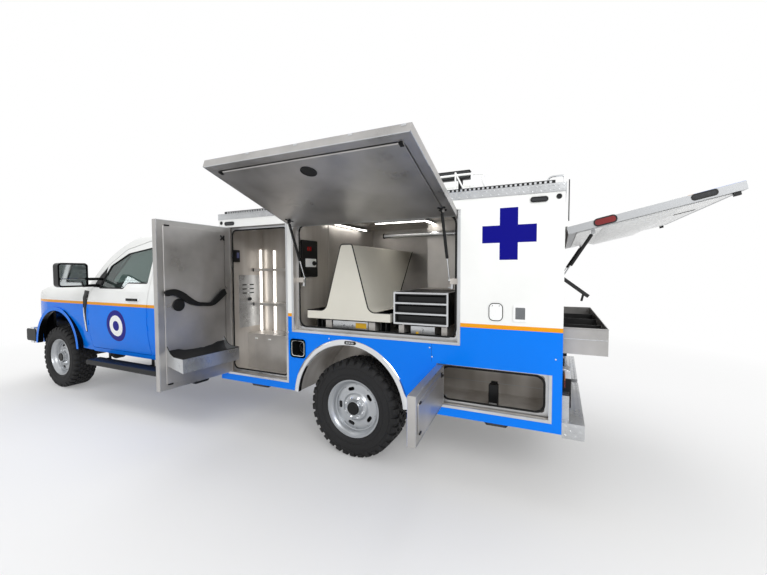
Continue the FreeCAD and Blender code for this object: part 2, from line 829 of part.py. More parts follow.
def nose_section(inset, low_z):
    """The nose's section across the truck, carried along X."""
    x = fender_rear_x - overrun
    sill = V(x, cab_sill_y - inset, low_z)
    flank = V(x, fender_y - inset, cab_bulge_z)
    shoulder = V(x, fender_y - inset, fender_shoulder_z - inset / 2)
    bow = V(x, fender_bow_y - inset, fender_bow_z - inset)
    crest = V(x, fender_crest_y - inset, fender_crest_z - inset)
    crown = V(x, 0, cowl_top_z + dome_rise - inset)
    right_sill, right_flank, right_shoulder, right_bow, right_crest = [
        V(p.x, -p.y, p.z) for p in (sill, flank, shoulder, bow, crest)]
    edges = [Part.makeLine(right_sill, sill), Part.makeLine(sill, flank),
             Part.makeLine(flank, shoulder), Part.Arc(shoulder, bow, crest).toShape(),
             Part.Arc(crest, crown, right_crest).toShape(),
             Part.Arc(right_crest, right_bow, right_shoulder).toShape(),
             Part.makeLine(right_shoulder, right_flank), Part.makeLine(right_flank, right_sill)]
    return Part.Face(Part.Wire(edges)).extrude(V(nose_front_x - inset - x, 0, 0))


def nose_side(inset, low_z):
    """The nose seen from the side, from the door's edge over the hood to the tip."""
    half = fender_y + overrun
    run = nose_front_x - cowl_x
    drop = cowl_top_z - nose_tip_z
    tip = V(nose_front_x - inset, -half, nose_tip_z - inset)
    line = [V(cowl_x + overrun / 2, -half, cowl_top_z - inset)]
    line += [V(cowl_x + run * x, -half, cowl_top_z - drop * z - inset)
             for x, z in zip(nose_x_shares, nose_drop_shares)]
    curve = Part.BSplineCurve()
    curve.interpolate(line + [tip])
    low = low_z - overrun
    shoulder = V(fender_rear_x, -half, cab_belt_z - inset / 2)
    foot = V(fender_rear_x, -half, low)
    toe = V(tip.x, -half, low)
    edges = [Part.makeLine(foot, shoulder), Part.makeLine(shoulder, line[0]), curve.toShape(),
             Part.makeLine(tip, toe), Part.makeLine(toe, foot)]
    return Part.Face(Part.Wire(Part.__sortEdges__(edges))).extrude(V(0, 2 * half, 0))


def nose_plan(inset, low_z):
    """The nose seen from above, its corners drawn in by a long arc on each side."""
    low = low_z - overrun
    tail_x = fender_rear_x - 2 * overrun
    front_x = nose_front_x - inset / 2
    bow_x = (nose_corner_x + front_x) / 2
    left = [V(nose_corner_x, fender_y - inset, low), V(bow_x, nose_bow_y - inset, low),
            V(front_x, nose_corner_y - inset, low)]
    right = [V(p.x, -p.y, p.z) for p in left]
    tail_left = V(tail_x, fender_y - inset, low)
    tail_right = V(tail_x, -fender_y + inset, low)
    edges = [Part.makeLine(tail_right, right[0]), Part.Arc(*right).toShape(),
             Part.makeLine(right[2], left[2]), Part.Arc(*left).toShape(),
             Part.makeLine(left[0], tail_left), Part.makeLine(tail_left, tail_right)]
    face = Part.Face(Part.Wire(Part.__sortEdges__(edges)))
    return face.extrude(V(0, 0, cowl_top_z + 2 * overrun - low))


def nose_dome(inset):
    """The raised middle of the hood, with sloping sides and ends."""
    run = nose_front_x - cowl_x
    top_half, foot_half = dome_half_widths
    top = cowl_top_z + dome_rise - inset
    foot = fender_low_z + overrun
    flank_z = cowl_top_z - dome_rise - inset
    section = prism_yz([(-foot_half + inset, foot), (foot_half - inset, foot),
                        (foot_half - inset, flank_z, dome_rise), (top_half - inset, top, dome_rise),
                        (-top_half + inset, top, dome_rise),
                        (-foot_half + inset, flank_z, dome_rise)], hood_rear_x, nose_front_x)
    xs = [cowl_x + run * share for share in dome_x_shares]
    low = cowl_top_z - 2 * dome_rise - inset
    side = prism_xz([(xs[0] + inset, foot), (xs[0] + inset, low), (xs[1], top, dome_rise),
                     (xs[2], top, dome_rise), (xs[3], low), (xs[3], foot)],
                    -foot_half, foot_half)
    return section.common(side)


def nose_form(inset, low_z):
    base = nose_section(inset, low_z).common(nose_side(inset, low_z))
    base = base.common(nose_plan(inset, low_z))
    return union([base, nose_dome(inset)])


def hood_barrels(radius):
    return both_sides(drum(V(hood_hinge.x, hood_hinge_y, hood_hinge.z), Y_AXIS, radius,
                           cab_hinge_length))


def fender_flare():
    """The rolled lip round a front wheel arch, standing proud of the fender."""
    middle = V(wheelbase, fender_y - flare_depth / 2 + flare_proud, front_arch_z)
    ring = drum(middle, Y_AXIS, front_arch_radius + flare_width, flare_depth)
    return ring.common(box((wheelbase - 2 * front_arch_radius, wheelbase + 2 * front_arch_radius),
                           (0, 2 * fender_y), (fender_low_z, 2 * front_arch_z)))


def nose_parts():
    shell = nose_form(0, fender_low_z).cut(nose_form(nose_skin, cab_sill_z - overrun))
    front = nose_front_x + overrun
    top = cowl_top_z + 2 * overrun
    hood_block = box((hood_rear_x + door_cut_gap, front), (-hood_half_width, hood_half_width),
                     (hood_edge_z + door_cut_gap, top))
    hood_hole = box((hood_rear_x, front),
                    (-hood_half_width - door_cut_gap, hood_half_width + door_cut_gap),
                    (hood_edge_z, top))
    save("hood", shell.common(hood_block).cut(hood_barrels(hinge_radius + running_gap)))
    arch = drum(V(wheelbase, 0, front_arch_z), Y_AXIS, front_arch_radius, 3 * fender_y)
    below = box((wheelbase - front_arch_radius, wheelbase + front_arch_radius),
                (-2 * fender_y, 2 * fender_y), (0, front_arch_z))
    mouth = box((nose_front_x - nose_skin - overrun, front), (-mouth_half, mouth_half),
                (0, mouth_top_z))
    lipped = union([shell.cut([hood_hole, mouth])] + both_sides(fender_flare()))
    save("front_fenders", union([lipped.cut([arch, below])] + hood_barrels(hinge_radius)))


# Grille and lamps between the fenders

grille_z = (800, 1188)
grille_seat = 3
grille_depth = 62
grille_x = (nose_front_x + grille_seat, nose_front_x + grille_seat + grille_depth)
grille_half = 590
grille_frame = 52
grille_bar_count = 4
grille_mesh_count = 15
grille_mesh_width = 10
lamp_y = (600, 905)
lamp_z = (905, 1185)
lamp_corner = 30
lamp_sweep = 40


def front_end():
    half = grille_half - grille_frame
    low, high = grille_z[0] + grille_frame, grille_z[1] - grille_frame
    frame = rounded_box(grille_x, (-grille_half, grille_half), grille_z, lamp_corner, X_AXIS)
    pitch = (high - low) / grille_bar_count
    bar_height = pitch / 2
    pieces = []
    for index in range(grille_bar_count):
        middle = low + pitch * (index + 1 / 2)
        pieces.append(box((grille_x[0] + rail_gauge, grille_x[1] - rail_gauge),
                          (-half - rail_gauge, half + rail_gauge),
                          (middle - bar_height / 2, middle + bar_height / 2)))
    for index in range(grille_mesh_count):
        y = -half + 2 * half * (index + 1) / (grille_mesh_count + 1)
        pieces.append(box((grille_x[0] + rail_gauge, grille_x[0] + 2 * rail_gauge),
                          (y - grille_mesh_width / 2, y + grille_mesh_width / 2),
                          (low - rail_gauge, high + rail_gauge)))
    carrier = box((nose_front_x - nose_skin * 2, grille_x[0]),
                  (-mouth_half + tiny, mouth_half - tiny),
                  (rail_bottom_z + rail_height + tiny, mouth_top_z - tiny))
    hole = box((nose_front_x - nose_skin * 3, grille_x[1] + overrun), (-half, half), (low, high))
    save("grille", union([union([frame, carrier]).cut(hole)] + pieces))
    lamp = rounded_box((grille_x[0] + tiny, grille_x[1] - rail_gauge), lamp_y, lamp_z,
                       lamp_corner, X_AXIS)
    back = grille_x[0] - overrun
    bend_y = (lamp_y[0] + lamp_y[1]) / 2
    swept = prism_xy([(back, lamp_y[0] - overrun), (grille_x[1], lamp_y[0] - overrun),
                      (grille_x[1], bend_y), (grille_x[1] - lamp_sweep, lamp_y[1] + overrun),
                      (back, lamp_y[1] + overrun)], 0, 2 * lamp_z[1])
    save("head_lamps", group(both_sides(lamp.common(swept))))


# Front bumper with its intake and fog lamp openings

bumper_z = (554, 775)
bumper_half = 985
bumper_corner = 300
bumper_depth = 110
bumper_gauge = 9
bumper_bend = 200
intake_half = 330
intake_z = (590, 680)
fog_y = (560, 700)


def bumper_outline(inset):
    back = bumper_x[0] - (overrun if inset else 0)
    front = bumper_x[1] - inset
    half = bumper_half - inset
    knee = bumper_x[0] + bumper_corner / 3
    shoulder = (front - bumper_depth / 2, bumper_half - bumper_corner, bumper_bend)
    flat = (front, bumper_half / 3, bumper_bend)
    return [(back, -half), (knee, -half), (shoulder[0], -shoulder[1], bumper_bend),
            (flat[0], -flat[1], bumper_bend), flat, shoulder, (knee, half), (back, half)]


def front_bumper():
    solid = prism_xy(bumper_outline(0), bumper_z[0], bumper_z[1])
    hollow = prism_xy(bumper_outline(bumper_gauge), bumper_z[0] - overrun,
                      bumper_z[1] - bumper_gauge)
    reach = (bumper_x[0] + bumper_depth, bumper_x[1] + overrun)
    openings = [rounded_box(reach, (-intake_half, intake_half), intake_z, lamp_corner, X_AXIS)]
    openings += both_sides(rounded_box(reach, fog_y, intake_z, lamp_corner, X_AXIS))
    horn = box((rail_front_x + tiny, bumper_x[1] - bumper_gauge / 2),
               (rail_outer_y - rail_flange, rail_outer_y),
               (rail_bottom_z, rail_bottom_z + rail_height - rail_flange))
    save("front_bumper", union([solid.cut([hollow] + openings)] + both_sides(horn)))


# Running boards, each on three brackets that reach the sill

board_z = (428, 490)
board_lead = 240
board_setback = 180
board_x = (cab_rear_x + board_lead, cowl_x - board_setback)
board_y = (925, 1105)
board_corner = 24
bracket_x_shares = [0.06, 0.5, 0.94]
bracket_half = 22


def running_boards():
    pieces = [rounded_box(board_x, board_y, board_z, board_corner, X_AXIS)]
    leg_y = cab_sill_y - cab_skin - tiny
    low = board_z[0] + rail_gauge
    for share in bracket_x_shares:
        x = board_x[0] + (board_x[1] - board_x[0]) * share
        across = (x - bracket_half, x + bracket_half)
        pieces.append(box(across, (leg_y - rail_gauge, board_y[0] + overrun / 2),
                          (low, board_z[1] - rail_gauge)))
        pieces.append(box(across, (leg_y - rail_gauge, leg_y), (low, cab_sill_z + overrun)))
    save("running_boards", group(both_sides(union(pieces))))


# Compartment body: a hollow aluminium shell with a door frame round each opening

inner_y = body_half_width - wall
filler_lead = 88
filler_width = 135
filler_height = 134
filler_low_z = 828
filler_depth = 110
filler_corner = 26
filler_rim = 22
filler_proud = 4
filler_x = (arch_radius - filler_lead + filler_rim, arch_radius - filler_lead + filler_rim
            + filler_width)
filler_z = (filler_low_z, filler_low_z + filler_height)
hinge_strip_height = 48


def body_front_bay():
    """Space of a front locker, inside its wall."""
    return box((front_locker_x[0], body_front_x - wall), (locker_back_y, inner_y),
               (body_bottom_z + wall, body_roof_z - wall))


def side_cuts():
    """What is cut from the left side of the body: lockers, wheel well and filler recess."""
    wide = body_half_width + overrun
    rear_space = box((body_rear_x + wall, -arch_radius - wall), (locker_back_y, inner_y),
                     (body_bottom_z + wall, hatch_z[0] - wall))
    rear_mouth = box(rear_locker_x, (locker_back_y, wide), rear_locker_z)
    front_mouth = box(front_locker_x, (locker_back_y, wide), front_locker_z)
    well = drum(V(0, (arch_inner_y + wide) / 2, arch_centre_z), Y_AXIS, arch_radius,
                wide - arch_inner_y)
    under = box((-arch_radius, arch_radius), (arch_inner_y, wide), (0, arch_centre_z))
    return [rear_space, rear_mouth, front_mouth, well, under, body_front_bay()]


def filler_bezel():
    rim_x = (filler_x[0] - filler_rim, filler_x[1] + filler_rim)
    rim_z = (filler_z[0] - filler_rim, filler_z[1] + filler_rim)
    return rounded_box(rim_x, (body_half_width - wall / 2, body_half_width + filler_proud),
                       rim_z, filler_corner + filler_rim / 2, Y_AXIS)


def service_body():
    outer = box((body_rear_x, body_front_x), (-body_half_width, body_half_width),
                (body_bottom_z, body_roof_z))
    wide = body_half_width + overrun
    top = body_roof_z - wall
    aisle = locker_back_y - wall / 2
    cuts = [box((body_rear_x - overrun, body_front_x + overrun),
                (-tunnel_half_width, tunnel_half_width), (0, tunnel_top_z)),
            box(lift_bay_x, (-wide, wide), lift_bay_z),
            box(lift_bay_x, (-inner_y, inner_y), (floor_top_z, top)),
            box((body_rear_x + wall, rear_bay_front_x), (-inner_y, inner_y), (hatch_z[0], top)),
            box((body_rear_x - overrun, body_rear_x + overrun),
                (-hatch_half_width, hatch_half_width), hatch_z),
            box((lift_bay_x[1] - overrun, body_front_x - wall), (-aisle, aisle),
                (floor_top_z, top))]
    for cut in side_cuts():
        cuts += both_sides(cut)
    shell = union([outer.cut(cuts), filler_bezel()])
    shell = shell.cut(rounded_box(filler_x, (body_half_width - filler_depth, wide), filler_z,
                                  filler_corner, Y_AXIS))
    pieces = [shell]
    for barrel in (lift_barrel, front_locker_barrel, rear_locker_barrel):
        pieces += both_sides(barrel(hinge_radius))
    strip = box((body_rear_x - hatch_proud - hinge_radius, body_rear_x),
                (-hatch_half_width, hatch_half_width),
                (hatch_z[1] + door_gap, hatch_z[1] + door_gap + hinge_strip_height))
    deck_half = body_half_width - trim_top - wall
    deck = box((roof_deck_rear_x, body_front_x - wall), (-deck_half, deck_half),
               (body_roof_z - wall / 2, body_roof_z + roof_deck_step))
    pieces += [strip, deck, hatch_barrel(hinge_radius)]
    save("service_body", union(pieces + strut_brackets()))


# Hinge barrels, each on its door's axis at the outer edge of the frame

lift_hinge = V(0, body_half_width, lift_bay_z[1] - door_gap)
front_locker_hinge = V(front_locker_x[1] - door_gap, body_half_width, 0)
rear_locker_hinge = V(rear_locker_x[1] - door_gap, body_half_width, 0)
hatch_hinge = V(body_rear_x - hatch_proud, 0, hatch_z[1])


def lift_barrel(radius):
    low, high = lift_bay_x
    return rod(V(low + overrun, lift_hinge.y, lift_hinge.z),
               V(high - overrun, lift_hinge.y, lift_hinge.z), radius)


def front_locker_barrel(radius):
    low, high = front_locker_z
    return rod(V(front_locker_hinge.x, front_locker_hinge.y, low + overrun),
               V(front_locker_hinge.x, front_locker_hinge.y, high - overrun), radius)


def rear_locker_barrel(radius):
    low, high = rear_locker_z
    return rod(V(rear_locker_hinge.x, rear_locker_hinge.y, low + overrun),
               V(rear_locker_hinge.x, rear_locker_hinge.y, high - overrun), radius)


def hatch_barrel(radius):
    return rod(V(hatch_hinge.x, -hatch_half_width + overrun, hatch_hinge.z),
               V(hatch_hinge.x, hatch_half_width - overrun, hatch_hinge.z), radius)


# Gas struts: where their pins, eyes and brackets stand

strut_radius = 11
strut_rod_radius = 5
strut_wall_gap = 0.6
strut_inset = 75
lift_strut_xs = (lift_bay_x[0] + strut_inset, lift_bay_x[1] - strut_inset)
lift_pin_along = 127
lift_pin_stand_off = 18
lift_pin_inward = door_thick + lift_pin_stand_off
lift_foot_inset = 65
lift_foot_rise = 442
lift_foot = V(0, body_half_width - lift_foot_inset, floor_top_z + lift_foot_rise)
hatch_strut_y = hatch_half_width - strut_inset
hatch_pin_along = 146
hatch_pin_stand_off = 22
hatch_pin_inward = door_thick + hatch_pin_stand_off
hatch_foot_inset = 65
hatch_foot_rise = 500
hatch_foot = V(body_rear_x + hatch_foot_inset, 0, hatch_z[0] + hatch_foot_rise)
bracket_width = 30
bracket_gap = 1
eye_radius = 11
eye_width = 12


def lift_pin_shut():
    return V(0, lift_hinge.y - lift_pin_inward, lift_hinge.z - lift_pin_along)


def hatch_pin_shut():
    return V(hatch_hinge.x + hatch_pin_inward, 0, hatch_hinge.z - hatch_pin_along)


def outward_of(x):
    """The way to the nearer end of the lift bay."""
    return -1 if x < (lift_bay_x[0] + lift_bay_x[1]) / 2 else 1


def strut_brackets():
    """Stubs on the walls beside which the rods' eyes stand."""
    stubs = []
    for x, edge in zip(lift_strut_xs, lift_bay_x):
        near = x + outward_of(x) * (eye_width / 2 + bracket_gap)
        stub = box((near, edge), (lift_foot.y - bracket_width, lift_foot.y + bracket_width / 2),
                   (lift_foot.z - bracket_width, lift_foot.z + eye_radius))
        stubs += both_sides(stub)
    near = hatch_strut_y + eye_width / 2 + bracket_gap
    stub = box((hatch_foot.x - eye_radius, hatch_foot.x + bracket_width), (near, inner_y),
               (hatch_foot.z - bracket_width, hatch_foot.z + eye_radius))
    return stubs + both_sides(stub)


def strut(head, foot, pin_axis, head_length, reach_shut):
    """A gas strut from its head on the door to its foot on the wall: cylinder and rod."""
    run = foot - head
    along = run * (1 / run.Length)
    cup_start = head + along * (head_length + eye_width / 2)
    cup_end = head + along * (reach_shut - eye_radius * 2)
    cylinder = rod(cup_start, cup_end, strut_radius)
    bore = rod(cup_start + along * strut_radius, cup_end + along * overrun,
               strut_rod_radius + strut_wall_gap)
    neck = rod(head, cup_start + along * strut_rod_radius, strut_rod_radius)
    tube = union([cylinder.cut(bore), neck, drum(head, pin_axis, eye_radius, eye_width)])
    piston = rod(cup_end - along * (overrun / 2), foot, strut_rod_radius)
    return tube, union([piston, drum(foot, pin_axis, eye_radius, eye_width)])


# Doors of the body, made shut and then turned to where they stand

def pan_hollow(across, up, inner, depth):
    """The shallow inner pan of a door, as a block with rounded corners."""
    low = (across[0] + pan_border, across[1] - pan_border)
    high = (up[0] + pan_border, up[1] - pan_border)
    corner = min(pan_corner, (high[1] - high[0]) / 3)
    return rounded_box(low, (inner - overrun, inner + depth), high, corner, Y_AXIS)


def side_door(across, up, barrel):
    """A flush door in the body's left side, in its shut place."""
    xs = (across[0] + door_gap, across[1] - door_gap)
    zs = (up[0] + door_gap, up[1] - door_gap)
    inner = body_half_width - door_thick
    slab = box(xs, (inner, body_half_width), zs)
    return slab.cut([pan_hollow(xs, zs, inner, pan_depth), barrel])


def body_doors():
    lift = side_door(lift_bay_x, lift_bay_z, lift_barrel(hinge_radius + running_gap))
    ears = []
    pin = lift_pin_shut()
    for x in lift_strut_xs:
        near = x + outward_of(x) * (eye_width / 2 + bracket_gap / 2)
        ears.append(box((near, near + outward_of(x) * bracket_width / 3),
                        (pin.y - eye_radius, body_half_width - door_thick + pan_depth),
                        (pin.z - eye_radius, pin.z + eye_radius)))
    lift = union([lift] + ears).rotate(lift_hinge, X_AXIS, lift_open_deg)
    front = side_door(front_locker_x, front_locker_z,
                      front_locker_barrel(hinge_radius + running_gap))
    front = front.rotate(front_locker_hinge, Z_AXIS, -front_locker_open_deg)
    rear = side_door(rear_locker_x, rear_locker_z,
                     rear_locker_barrel(hinge_radius + running_gap))
    rear = rear.rotate(rear_locker_hinge, Z_AXIS, -rear_locker_open_deg)
    for name, door in (("lift_door", lift), ("front_locker_door", front),
                       ("rear_locker_door", rear)):
        save(name + "_left", door)
        save(name + "_right", flipped(door))


def rear_hatch():
    inner_x = body_rear_x - hatch_proud + door_thick
    panel = box((body_rear_x - hatch_proud, inner_x),
                (-hatch_half_width + door_gap, hatch_half_width - door_gap),
                (hatch_z[0] + door_gap, hatch_z[1]))
    pan = rounded_box((inner_x - pan_depth, inner_x + overrun),
                      (-hatch_half_width + pan_border, hatch_half_width - pan_border),
                      (hatch_z[0] + pan_border, hatch_z[1] - pan_border), pan_corner, X_AXIS)
    pin = hatch_pin_shut()
    near = hatch_strut_y + eye_width / 2 + bracket_gap / 2
    ear = box((inner_x - pan_depth - rail_gauge, pin.x + eye_radius),
              (near, near + bracket_width / 3), (pin.z - eye_radius, pin.z + eye_radius))
    hatch = union([panel.cut([pan, hatch_barrel(hinge_radius + running_gap)])]
                  + both_sides(ear))
    save("rear_hatch", hatch.rotate(hatch_hinge, Y_AXIS, hatch_open_deg))


def turned(point, centre, axis, degrees):
    """A point carried round an axis."""
    spin = FreeCAD.Rotation(axis, degrees)
    return centre + spin.multVec(point - centre)


def struts():
    head = turned(lift_pin_shut(), lift_hinge, X_AXIS, lift_open_deg)
    shut = (lift_pin_shut() - lift_foot).Length
    cylinders = []
    rods = []
    for x in lift_strut_xs:
        offset = V(x, 0, 0)
        tube, piston = strut(head + offset, lift_foot + offset, X_AXIS, eye_radius, shut)
        cylinders.append(tube)
        rods.append(piston)
    save("lift_strut_tubes_left", group(cylinders))
    save("lift_strut_rods_left", group(rods))
    save("lift_strut_tubes_right", group([flipped(tube) for tube in cylinders]))
    save("lift_strut_rods_right", group([flipped(piston) for piston in rods]))
    head = turned(hatch_pin_shut(), hatch_hinge, Y_AXIS, hatch_open_deg)
    shut = (hatch_pin_shut() - hatch_foot).Length
    offset = V(0, hatch_strut_y, 0)
    tube, piston = strut(head + offset, hatch_foot + offset, Y_AXIS, eye_radius, shut)
    save("hatch_strut_tubes", group(both_sides(tube)))
    save("hatch_strut_rods", group(both_sides(piston)))


# Slides and trays

sheet = 5
slide_gap = 1
runner_width = 60
runner_half_span = 240
hump_shoulder = 208
hump_peak = 52
hump_flare = 68
hump_tip = 24
cabinet_frame = 22
cabinet_rows = 3
cabinet_foot = 44
front_lap = 1
slide_z = (floor_top_z + tiny, tray_base_z[0] - slide_gap)
tray_middle = (tray_x[0] + tray_x[1]) / 2


def hump_outline(skin, base_low):
    """The tray's bell-shaped end, or with a skin the space inside it."""
    low, high = tray_x[0] + skin, tray_x[1] - skin
    base_high = tray_base_z[1] - skin
    shoulder = hump_shoulder - skin
    peak = hump_peak - skin
    top = tray_peak_z - skin
    return [(low, base_low), (high, base_low), (high, base_high),
            (tray_middle + shoulder, base_high, hump_flare + skin),
            (tray_middle + peak, top, hump_tip - skin), (tray_middle - peak, top, hump_tip - skin),
            (tray_middle - shoulder, base_high, hump_flare + skin), (low, base_high)]


def hump_tray():
    """A tray whose end plates and skin rise to a narrow hump."""
    full = prism_xz(hump_outline(0, tray_base_z[0]), tray_y[0], tray_y[1])
    hollow = prism_xz(hump_outline(sheet, tray_base_z[0] - overrun),
                      tray_y[0] + sheet, tray_y[1] - sheet)
    pieces = [full.cut(hollow)]
    for low in runner_places():
        pieces.append(box((low, low + runner_width), tray_y,
                          (slide_z[1] - 2 * sheet, tray_base_z[0] + sheet)))
    save("hump_tray", union(pieces))


def runner_places():
    """Low X of the two runners below the hump tray."""
    return (tray_middle - runner_half_span, tray_middle + runner_half_span - runner_width)


def foot_places():
    """Low X of the two runners below the drawer cabinet."""
    return (cabinet_x[0] + cabinet_frame, cabinet_x[1] - cabinet_frame - cabinet_foot)


def drawer_cabinet():
    low, high = cabinet_x
    frame = cabinet_frame
    case = box(cabinet_x, cabinet_y, cabinet_z)
    pitch = (cabinet_z[1] - cabinet_z[0] - frame) / cabinet_rows
    cuts = []
    fronts = []
    for index in range(cabinet_rows):
        z_low = cabinet_z[0] + frame + pitch * index
        z_high = z_low + pitch - frame
        cuts.append(box((low + frame, high - frame),
                        (cabinet_y[0] + frame, cabinet_y[1] + overrun), (z_low, z_high)))
        fronts.append(box((low + frame - front_lap, high - frame + front_lap),
                          (cabinet_y[0] + frame, cabinet_y[1] - frame),
                          (z_low - front_lap, z_high - frame / 2)))
    feet = [box((x, x + cabinet_foot), cabinet_y, (slide_z[1] - 2 * sheet, cabinet_z[0] + sheet))
            for x in foot_places()]
    save("drawer_cabinet", union([case.cut(cuts)] + fronts + feet))


rail_setback = 50
drawer_rail_width = 30
drawer_rail_height = 90


def slide_rails():
    top = slide_z[1] - 2 * sheet - tiny
    rails = [box((x, x + runner_width), (tray_y[0], tray_y[1] - rail_setback), (slide_z[0], top))
             for x in runner_places()]
    rails += [box((x, x + cabinet_foot), (cabinet_y[0], cabinet_y[1] - rail_setback),
                  (slide_z[0], top)) for x in foot_places()]
    rails += both_sides(box((body_rear_x + wall, rear_bay_front_x - sheet),
                            (drawer_half_width + tiny, drawer_half_width + drawer_rail_width),
                            (hatch_z[0] + tiny, drawer_z[0] + drawer_rail_height)))
    save("slide_rails", group(rails))


drawer_cells = 4
divider_drop = 30
rim_width = 14
rim_gauge = 4


def rear_drawer():
    xs = (drawer_out_x, drawer_out_x + drawer_length)
    half = drawer_half_width
    rim_z = (drawer_z[1] - rim_gauge, drawer_z[1])
    full = union([box(xs, (-half, half), drawer_z),
                  box((xs[0], xs[1]), (-half - rim_width, half + rim_width), rim_z)])
    hollow = box((xs[0] + sheet, xs[1] - sheet), (-half + sheet, half - sheet),
                 (drawer_z[0] + sheet, drawer_z[1] + overrun))
    dividers = []
    for index in range(1, drawer_cells):
        y = -half + 2 * half * index / drawer_cells
        dividers.append(box((xs[0] + sheet / 2, xs[1] - sheet / 2), (y - sheet / 2, y + sheet / 2),
                            (drawer_z[0] + sheet / 2, drawer_z[1] - divider_drop)))
    save("rear_drawer", union([full.cut(hollow)] + dividers))


# Fittings of the body

trim_drop = 40
trim_rise = 14
trim_z = (body_roof_z - trim_drop, body_roof_z + trim_rise)
trim_thick = 4
arch_ring_width = 45
arch_ring_proud = 12


def body_trim():
    out = body_half_width + trim_thick
    xs = (body_rear_x - trim_thick, body_front_x + trim_thick)
    side = box(xs, (body_half_width, out), trim_z)
    top = box(xs, (body_half_width - trim_top, out), (body_roof_z, body_roof_z + trim_thick))
    ends = [box((body_rear_x - trim_thick, body_rear_x), (-out, out), trim_z),
            box((body_front_x, body_front_x + trim_thick), (-out, out), trim_z)]
    band = union(both_sides(side) + both_sides(top) + ends)
    middle = V(0, body_half_width + arch_ring_proud / 2, arch_centre_z)
    ring = drum(middle, Y_AXIS, arch_radius + arch_ring_width, arch_ring_proud).cut(
        drum(middle, Y_AXIS, arch_radius, arch_ring_proud + overrun))
    keep = box((-2 * arch_radius, 2 * arch_radius), (0, 2 * body_half_width),
               (body_bottom_z, 2 * body_half_width))
    save("body_trim", group([band] + both_sides(ring.common(keep))))


bumper_step = 130
bumper_drop = 20
bumper_deck_height = 100
bumper_post_height = 50
rubber_height = 112
rubber_y_share = 1.6
rubber_y = (tunnel_half_width * rubber_y_share, body_half_width - wall)
hitch_gap_half = 60


def rear_bumper():
    """A step across the back with two upright rubber blocks on posts."""
    low = body_bottom_z - bumper_drop
    top = low + bumper_deck_height
    deck = box((body_rear_x - bumper_step, body_rear_x - tiny),
               (-body_half_width, body_half_width), (low, top))
    xs = (body_rear_x - wall, body_rear_x - tiny)
    post = box(xs, rubber_y, (top, top + bumper_post_height))
    block = box(xs, rubber_y, (post.BoundBox.ZMax, post.BoundBox.ZMax + rubber_height))
    hole = box((body_rear_x - 2 * bumper_step, body_rear_x + bumper_step),
               (-hitch_gap_half, hitch_gap_half), (low, 2 * top))
    save("rear_bumper", union([deck] + both_sides(block) + both_sides(post)).cut(hole))


rack_tube = 13
rack_x = (-900, -250)
rack_inset = 430
rack_height = 150


def roof_rack():
    low = body_roof_z + tiny
    high = body_roof_z + rack_height
    y = body_half_width - rack_inset
    pieces = [rod(V(rack_x[0], side, high), V(rack_x[1], side, high), rack_tube)
              for side in (-y, y)]
    for x in rack_x:
        pieces.append(rod(V(x, -y, high), V(x, y, high), rack_tube))
        for side in (-y, y):
            pieces.append(rod(V(x, side, low), V(x, side, high), rack_tube))
            pieces.append(Part.makeSphere(rack_tube, V(x, side, high)))
    save("roof_rack", union(pieces))


strip_inset = 20
strip_width = 40
strip_height = 34
strip_end = 60
unit_x = (-560, -330)
unit_half = 150
unit_height = 110
unit_corner = 20


def roof_lights():
    seat = body_roof_z + trim_thick + tiny
    strip = box((body_rear_x + strip_end, body_front_x - strip_end),
                (body_half_width - strip_inset - strip_width, body_half_width - strip_inset),
                (seat, seat + strip_height))
    unit = rounded_box(unit_x, (-unit_half, unit_half),
                       (body_roof_z + tiny, body_roof_z + unit_height), unit_corner, Z_AXIS)
    save("roof_lights", group(both_sides(strip) + [unit]))


lamp_proud = 9
lamp_half_length = 50
lamp_half_height = 15
side_lamp_corner = 10
side_lamp_drop = 80
side_lamp_rear = 151
side_lamp_front = 145
arch_lamp_x = -35
rear_lamp_inset = 90
rear_lamp_half = 40
rear_lamp_z = (800, 900)
rear_lamp_corner = 20


def marker_lamps():
    lamp_high_z = body_roof_z - side_lamp_drop
    arch_lamp_z = arch_centre_z + arch_radius + arch_ring_width / 2
    lamps = []
    for x, z, seat in ((body_rear_x + side_lamp_rear, lamp_high_z, 0),
                       (body_front_x - side_lamp_front, lamp_high_z, 0),
                       (arch_lamp_x, arch_lamp_z, arch_ring_proud)):
        low = body_half_width + seat + tiny
        lamps += both_sides(rounded_box((x - lamp_half_length, x + lamp_half_length),
                                        (low, low + lamp_proud),
                                        (z - lamp_half_height, z + lamp_half_height),
                                        side_lamp_corner, Y_AXIS))
    y = body_half_width - rear_lamp_inset
    lamps += both_sides(rounded_box((body_rear_x - tiny - lamp_proud, body_rear_x - tiny),
                                    (y - rear_lamp_half, y + rear_lamp_half), rear_lamp_z,
                                    rear_lamp_corner, X_AXIS))
    save("marker_lamps", group(lamps))


shelf_thick = 24
shelf_setback = 60
box_setback = 40
shelf_rises = (635, 930)
locker_box_rise = 377


def locker_shelves():
    xs = (front_locker_x[0] + tiny, body_front_x - wall - tiny)
    back = locker_back_y + tiny
    pieces = [box(xs, (back, inner_y - box_setback),
                  (body_bottom_z + wall + tiny, front_locker_z[0] + locker_box_rise))]
    for rise in shelf_rises:
        z = front_locker_z[0] + rise
        pieces.append(box(xs, (back, inner_y - shelf_setback), (z - shelf_thick, z)))
    both = []
    for piece in pieces:
        both += both_sides(piece)
    save("locker_shelves", group(both))


# Seats, dashboard and steering wheel

